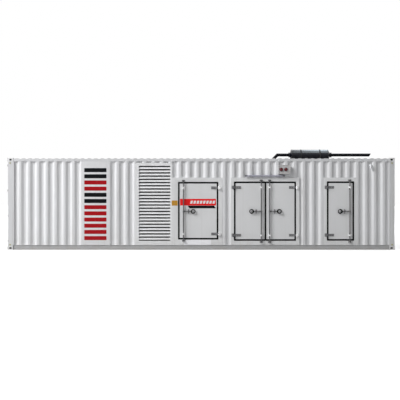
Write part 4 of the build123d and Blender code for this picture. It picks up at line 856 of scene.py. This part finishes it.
lamp_glass = mottled("lamp_glass", 40, 4, (0.12, 0.004, 0.008), (0.07, 0.003, 0.006), Roughness=0.2, IOR=1.5,
                     Specular_IOR_Level=0.35)[0]
softened("strip_light_body", 0.002, light_plastic)
softened("strip_light_caps", 0.004, dark_plastic)
softened("alarm_box", 0.003, alarm_enamel)
low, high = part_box("alarm_box")
bolts("alarm_box_screws", [(x, low.y, z) for x in (low.x + ALARM_SCREW_INSET, high.x - ALARM_SCREW_INSET)
                           for z in (high.z - ALARM_SCREW_DROP, high.z - ALARM_SCREW_INSET)],
      "front", seed=15, size=0.45)

lamps = bmesh.new()
for low, high in boxes("alarm_lamps"):
    middle, rings = (low + high) / 2, []
    for reach, radius in (*BEZEL, *LENS_SIDE, *LENS_FRONT):
        fluted = (reach, radius) in LENS_SIDE
        ring = []
        for i in range(TURNS):
            angle = math.tau * i / TURNS
            wavy = radius * (1 - FLUTE_DEPTH * fluted * (1 + math.cos(FLUTES * angle)) / 2)
            x, z = middle.x + wavy * math.cos(angle), middle.z + wavy * math.sin(angle)
            ring.append(lamps.verts.new((x, high.y - reach, z)))
        rings.append(ring)
    for level, (inner, outer) in enumerate(zip(rings, rings[1:])):
        for i in range(TURNS):
            j = (i + 1) % TURNS
            face = lamps.faces.new((inner[i], inner[j], outer[j], outer[i]))
            face.material_index = 1 if level < len(BEZEL) - 1 else 0
bmesh.ops.recalc_face_normals(lamps, faces=lamps.faces)
lamp_mesh = as_mesh(lamps, "alarm_lamp_lenses")
lenses = new_piece("alarm_lamp_lenses", lamp_mesh, None)
lamp_mesh.materials.append(lamp_glass)
lamp_mesh.materials.append(dark_plastic)
smoothed(lamp_mesh, 50)
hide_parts("alarm_lamps")

low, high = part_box("strip_light_body")
front, under, over = low.y - CLIP_STAND_OFF, low.z - CLIP_STAND_OFF, high.z + CLIP_STAND_OFF
clip_lines = [[(x, high.y, under), (x, front, under), (x, front, over), (x, high.y, over)]
              for x in (low.x + (high.x - low.x) * share for share in CLIP_SHARES)]
beads("strip_light_clips", clip_lines, zinc, "bare_steel", Radius=0.0025, Corner_radius=0.016, Sides=8)
softened("vent_elbow", 0.001, container_paint, segments=1)
low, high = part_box("vent_elbow")
middle_x, bolt_y, bolt_z = (low.x + high.x) / 2, high.y - VENT_FLANGE, high.z - VENT_BOLT_DROP
wide, tall = VENT_BOLTS
bolts("vent_bolts", [(middle_x + x, bolt_y, bolt_z + z) for x in (-wide, wide) for z in (-tall, tall)],
      "front", seed=16, size=0.6)


# Exhaust. Rolled and welded steel in gloss black heat-resistant paint: the inlet pipe up through the
# roof, the silencer on two banded saddles, and the tail pipe with a slanted mouth. Its flanges, saddles
# and collar are bolted down, and its drum has a weld round each end.
FLANGE = 0.012
BOLT_CIRCLE, CIRCLE_BOLTS = 0.072, 8
WELD_RADIUS, WELD_SINK, WELD_GAP = 0.0045, 0.003, 0.024
SHOULDER_RADIUS = 0.1795
WELD_SIDES = 32
SADDLE_FOOT, SADDLE_BOLT_INSET, SADDLE_BOLT_Y = 0.006, 0.02, 0.155
COLLAR_FLANGE, COLLAR_BOLT_INSET, COLLAR_BOLT_Y = 0.004, 0.022, 0.128
exhaust_paint = painted("exhaust_paint", (0.004, 0.005, 0.010), coat=0.0, specular=0.3, Dust_amount=0.0,
                        Streaks=0.03, Base_roughness=0.09, Waviness=0.0005, Dust=(0.10, 0.10, 0.11, 1))
saddle_paint = painted("saddle_paint", (0.012, 0.012, 0.014), coat=0.0, specular=0.3, Streaks=0.1,
                       Base_roughness=0.45)
pipe_paint = painted("pipe_paint", (0.003, 0.003, 0.005), coat=0.0, specular=0.1, Dust_amount=0.0,
                     Streaks=0.03, Base_roughness=0.5)
softened("silencer", 0.004, exhaust_paint)
softened("exhaust_inlet_pipe", 0.0015, pipe_paint)
softened("exhaust_tail_pipe", 0.001, pipe_paint)
softened("silencer_saddles", 0.0015, saddle_paint)
softened("roof_collar", 0.0015, saddle_paint)
silencer_low, silencer_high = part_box("silencer")
tail_low, tail_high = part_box("exhaust_tail_pipe")
axis_z = (tail_low.z + tail_high.z) / 2


def circle(x, radius, sides, turned=0.0):
    """Places round the axis of the exhaust, turned by a share of a side."""
    angles = [math.tau * (i + turned) / sides for i in range(sides)]
    return [(x, radius * math.cos(angle), axis_z + radius * math.sin(angle)) for angle in angles]


for name, x in (("inlet", silencer_low.x), ("outlet", silencer_high.x)):
    for facing, way in (("left", -1), ("right", 1)):
        places = circle(x + way * FLANGE, BOLT_CIRCLE, CIRCLE_BOLTS, 0.5)
        bolts(f"{name}_flange_bolts_{facing}", places, facing, seed=12, material=saddle_paint,
              size=0.7)
drum = [p.x for p in solids("silencer")[0] if (p.y ** 2 + (p.z - axis_z) ** 2) ** 0.5 > SHOULDER_RADIUS]
weld_radius = (silencer_high.z - silencer_low.z) / 2 - WELD_SINK
welds = (min(drum), max(drum), min(drum) + WELD_GAP, max(drum) - WELD_GAP)
beads("exhaust_welds", [circle(x, weld_radius, WELD_SIDES) for x in welds], exhaust_paint,
      "exhaust_paint", closed=True, Radius=WELD_RADIUS, Sides=8)
bolts("saddle_bolts", [(x, y, low.z + SADDLE_FOOT) for low, high in boxes("silencer_saddles")
                       for x in (low.x + SADDLE_BOLT_INSET, high.x - SADDLE_BOLT_INSET)
                       for y in (-SADDLE_BOLT_Y, SADDLE_BOLT_Y)], "up", seed=13)
low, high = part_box("roof_collar")
bolts("collar_bolts", [(x, y, low.z + COLLAR_FLANGE)
                       for x in (low.x + COLLAR_BOLT_INSET, high.x - COLLAR_BOLT_INSET)
                       for y in (-COLLAR_BOLT_Y, 0, COLLAR_BOLT_Y)], "up", seed=14, size=0.8)


# Cargo doors at the left end, which stay shut: two leaves of pressed panels, each with two lock rods
# with levers, and riveted hinge straps that turn on steel pins in the hinge blocks of the posts.
HINGE_LEAST_WIDTH = 0.12
HINGE_HEIGHTS = (0.05, 0.2)
RIVET_SINK, RIVET_SHIFT = 0.0055, 0.02
RIVET_ROWS, RIVET_HEIGHTS = (-0.04, 0.02), (-0.045, 0.045)
PIN_RADIUS, PIN_HALF = 0.0105, 0.032
PIN_X, PIN_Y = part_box("corner_posts")[0].x - 0.0095, 1.19
softened("end_cargo_doors", 0.006, container_paint)
softened("end_door_hardware", 0.003, strap_steel)
hinge_rivets, hinge_heights = [], set()
least, most = HINGE_HEIGHTS
for low, high in boxes("end_door_hardware"):
    middle = (low + high) / 2
    if high.y - low.y > HINGE_LEAST_WIDTH and high.z - low.z < most:
        outer_y = 1 if middle.y > 0 else -1
        hinge_rivets += [(low.x + RIVET_SINK, middle.y - outer_y * RIVET_SHIFT + y, middle.z + z)
                         for y in RIVET_ROWS for z in RIVET_HEIGHTS]
        if high.z - low.z > least:
            hinge_heights.add(round(middle.z, 2))
bolts("cargo_hinge_rivets", hinge_rivets, "left", seed=17, material=strap_steel,
      size=0.9)
pin_lines = [[(PIN_X, y, z - PIN_HALF), (PIN_X, y, z + PIN_HALF)] for y in (-PIN_Y, PIN_Y)
             for z in sorted(hinge_heights)]
beads("cargo_hinge_pins", pin_lines, lever_steel, "hardware_steel", Radius=PIN_RADIUS, Sides=12)


# Underframe and floor. Pressed cross members between the bottom rails and a steel floor plate on top
# of them, both in grey paint that carries the dust of the road.
underframe_paint = painted("underframe_paint", (0.20, 0.205, 0.21), coat=0.0, Dust_amount=0.6,
                           Dust_height=0.3)
floor_paint = painted("floor_paint", (0.18, 0.18, 0.185), coat=0.0, Dust_amount=0.5, Dust_height=0.4)
dress(underframe_paint, "floor_cross_members")
dress(floor_paint, "floor_plate")


# Coloured film. Plain bars stuck on the flat panel of the wall, plain bands and dashes on the wide
# door, and a blank plate beside it, all cut with rounded corners.
FILM = 0.0006
CORNER_STEPS = 5
BAR_LEFT, BAR_RIGHT = -3.676, -2.975
BAR_BOTTOM, BAR_PITCH, BAR_HEIGHT = 0.307, 0.1945, 0.128
BAR_ROWS = {"red": (0, 1, 2, 3, 4, 5, 8, 9), "black": (6, 7, 10, 11)}
RED_BAND, BLACK_BAND = (-0.662, 0.470, 1.397, 1.606), (-0.363, 0.470, 1.308, 1.393)
DASH_LEFT, DASH_PITCH, DASH_WIDTH, DASHES = -0.345, 0.100, 0.070, 8
DASH_FOOT, DASH_TOP = 1.455, 1.548
PLATE = (-0.923, -0.735, 1.393, 1.554)
FILM_PAINTS = {
    "red": ((0.36, 0.003, 0.007), 0.15, 0.03, 0.05), "bright": ((0.80, 0.012, 0.014), 0.2, 0.04, 0.1),
    "black": ((0.003, 0.004, 0.005), 0.08, 0.02, 0.05), "white": ((0.80, 0.80, 0.80), 0.2, 0.03, 0.1)}


def film_bar(name, shapes, material, face_y, body="root", radius=0.02, slant=0.0):
    """Thin bars of film on a front face, each given as (left, right, bottom, top)."""
    film = bmesh.new()
    for left, right, bottom, top in shapes:
        r = min(radius, (right - left) / 2, (top - bottom) / 2)
        corners = ((right - r, top - r, 0), (left + r, top - r, 90), (left + r, bottom + r, 180),
                   (right - r, bottom + r, 270))
        outline = []
        for x, z, start in corners:
            for i in range(CORNER_STEPS):
                angle = math.radians(start + 90 * i / (CORNER_STEPS - 1))
                px, pz = x + r * math.cos(angle), z + r * math.sin(angle)
                outline.append((px + slant * (pz - bottom), pz))
        front = [film.verts.new((x, face_y - FILM, z)) for x, z in outline]
        back = [film.verts.new((x, face_y, z)) for x, z in outline]
        film.faces.new(front)
        for i in range(len(front)):
            j = (i + 1) % len(front)
            film.faces.new((front[j], front[i], back[i], back[j]))
    bmesh.ops.recalc_face_normals(film, faces=film.faces)
    new_piece(name, as_mesh(film, name), material, body)


films = {colour: painted(f"{colour}_film", paint, coat=0.0, specular=specular, Streaks=streaks,
                         Dust_amount=dust, Base_roughness=0.42)
         for colour, (paint, specular, streaks, dust) in FILM_PAINTS.items()}
ochre_plate = painted("ochre_plate", (0.48, 0.24, 0.03), coat=0.0, specular=0.2, Streaks=0.15,
                      Base_roughness=0.4)
wall_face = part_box("front_side_panels")[0].y
leaf_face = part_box("wide_door_leaf")[0].y
for colour, rows in BAR_ROWS.items():
    bars = [(BAR_LEFT, BAR_RIGHT, z, z + BAR_HEIGHT) for z in (BAR_BOTTOM + BAR_PITCH * i for i in rows)]
    film_bar(f"wall_bars_{colour}", bars, films[colour], wall_face)
film_bar("door_band_red", [RED_BAND], films["bright"], leaf_face, "wide_door", 0.004)
film_bar("door_band_black", [BLACK_BAND], films["black"], leaf_face, "wide_door", 0.004, -0.75)
dash_lefts = [DASH_LEFT + DASH_PITCH * i for i in range(DASHES)]
dashes = [(x, x + DASH_WIDTH, DASH_FOOT, DASH_TOP) for x in dash_lefts]
film_bar("door_band_dashes", dashes, films["white"], leaf_face - FILM, "wide_door", 0.008, 0.25)
film_bar("blank_plate", [PLATE], ochre_plate, wall_face, "root", 0.01)


# The stage: a pale floor that fades to white, a key light high on the left, a softer one behind for the
# far side, a white world with two softboxes that show in reflections alone, and the camera square to
# the front wall. One softbox is pale blue, high over the right half; the other whitens the left folds.
CAMERA_PLACE = (-0.033, -21.211, 1.57)
LENS = 57.2
FLOOR_HALF = 150.0
SHADOW_REACH, WHITE_FROM = 8.0, 30.0
WORLD_LIGHT = 0.20
HIGH_SOFTBOX = (("X", 0.13, 0.185), ("X", 0.22, 0.195), ("Z", 0.58, 0.70))
LEFT_SOFTBOX = (("X", -0.76, -0.92), ("Z", 0.55, 0.3))
HIGH_POWER, LEFT_POWER = 12.0, 4.0
HIGH_TINT = (0.80, 0.92, 1, 1)
LIGHTS = (("key_light", (-26, -14, 25), (0, -1, 1.4), 16200, 14),
          ("back_light", (16, 17, 14), (0, 1, 1.4), 3300, 10))
floor_mesh = bpy.data.meshes.new("floor")
floor_mesh.from_pydata([(-FLOOR_HALF, -FLOOR_HALF, 0), (FLOOR_HALF, -FLOOR_HALF, 0),
                        (FLOOR_HALF, FLOOR_HALF, 0), (-FLOOR_HALF, FLOOR_HALF, 0)], [], [(0, 1, 2, 3)])
floor = in_scene("floor", floor_mesh)
floor_material, tree, shader = new_material(
    "pale_floor", Base_Color=(0.6, 0.6, 0.6, 1), Roughness=0.9, Emission_Color=(1, 1, 1, 1))
camera_ray = put(tree, "ShaderNodeLightPath").outputs["Is Camera Ray"]
from_middle = put(tree, "ShaderNodeVectorMath", {0: object_place(tree)}, operation="LENGTH").outputs["Value"]
wider_glow = ranged(tree, from_middle, SHADOW_REACH, WHITE_FROM, 0.5, 1.0)
tree.links.new(maths(tree, "MULTIPLY", camera_ray, wider_glow), shader["Emission Strength"])
floor_mesh.materials.append(floor_material)

world = bpy.data.worlds.new("studio")
bpy.context.scene.world = world
world.use_nodes = True
tree = world.node_tree
paths = put(tree, "ShaderNodeLightPath").outputs
seen = maths(tree, "MAXIMUM", paths["Is Camera Ray"], paths["Is Glossy Ray"])
bright = maths(tree, "MAXIMUM", seen, paths["Is Transmission Ray"])
ray = put(tree, "ShaderNodeTexCoord").outputs["Generated"]
towards = put(tree, "ShaderNodeSeparateXYZ", {0: ray}).outputs
softboxes = []
for edges in (HIGH_SOFTBOX, LEFT_SOFTBOX):
    softbox = paths["Is Glossy Ray"]
    for axis, start, end in edges:
        soft_edge = ranged(tree, towards[axis], start, end, interpolation_type="SMOOTHSTEP")
        softbox = maths(tree, "MULTIPLY", softbox, soft_edge)
    softboxes.append(softbox)
lit = ranged(tree, bright, 0.0, 1.0, WORLD_LIGHT, 1.0)
for softbox, power in zip(softboxes, (HIGH_POWER, LEFT_POWER)):
    lit = maths(tree, "MULTIPLY_ADD", softbox, power, lit)
background = tree.nodes["Background"].inputs
tree.links.new(lit, background["Strength"])
tree.links.new(blend(tree, softboxes[0], (1, 1, 1, 1), HIGH_TINT), background["Color"])

for name, place, aim, power, size in LIGHTS:
    light = in_scene(name, bpy.data.lights.new(name, "AREA"))
    light.data.energy = power
    light.data.size = size
    light.location = place
    light.rotation_euler = (Vector(aim) - Vector(place)).to_track_quat("-Z", "Y").to_euler()

camera = in_scene("camera", bpy.data.cameras.new("camera"))
camera.location = CAMERA_PLACE
camera.rotation_euler = (math.pi / 2, 0, 0)
camera.data.lens = LENS
camera.data.sensor_width = 36
camera.data.clip_end = 500
bpy.context.scene.camera = camera
bpy.context.scene.view_settings.view_transform = "Standard"
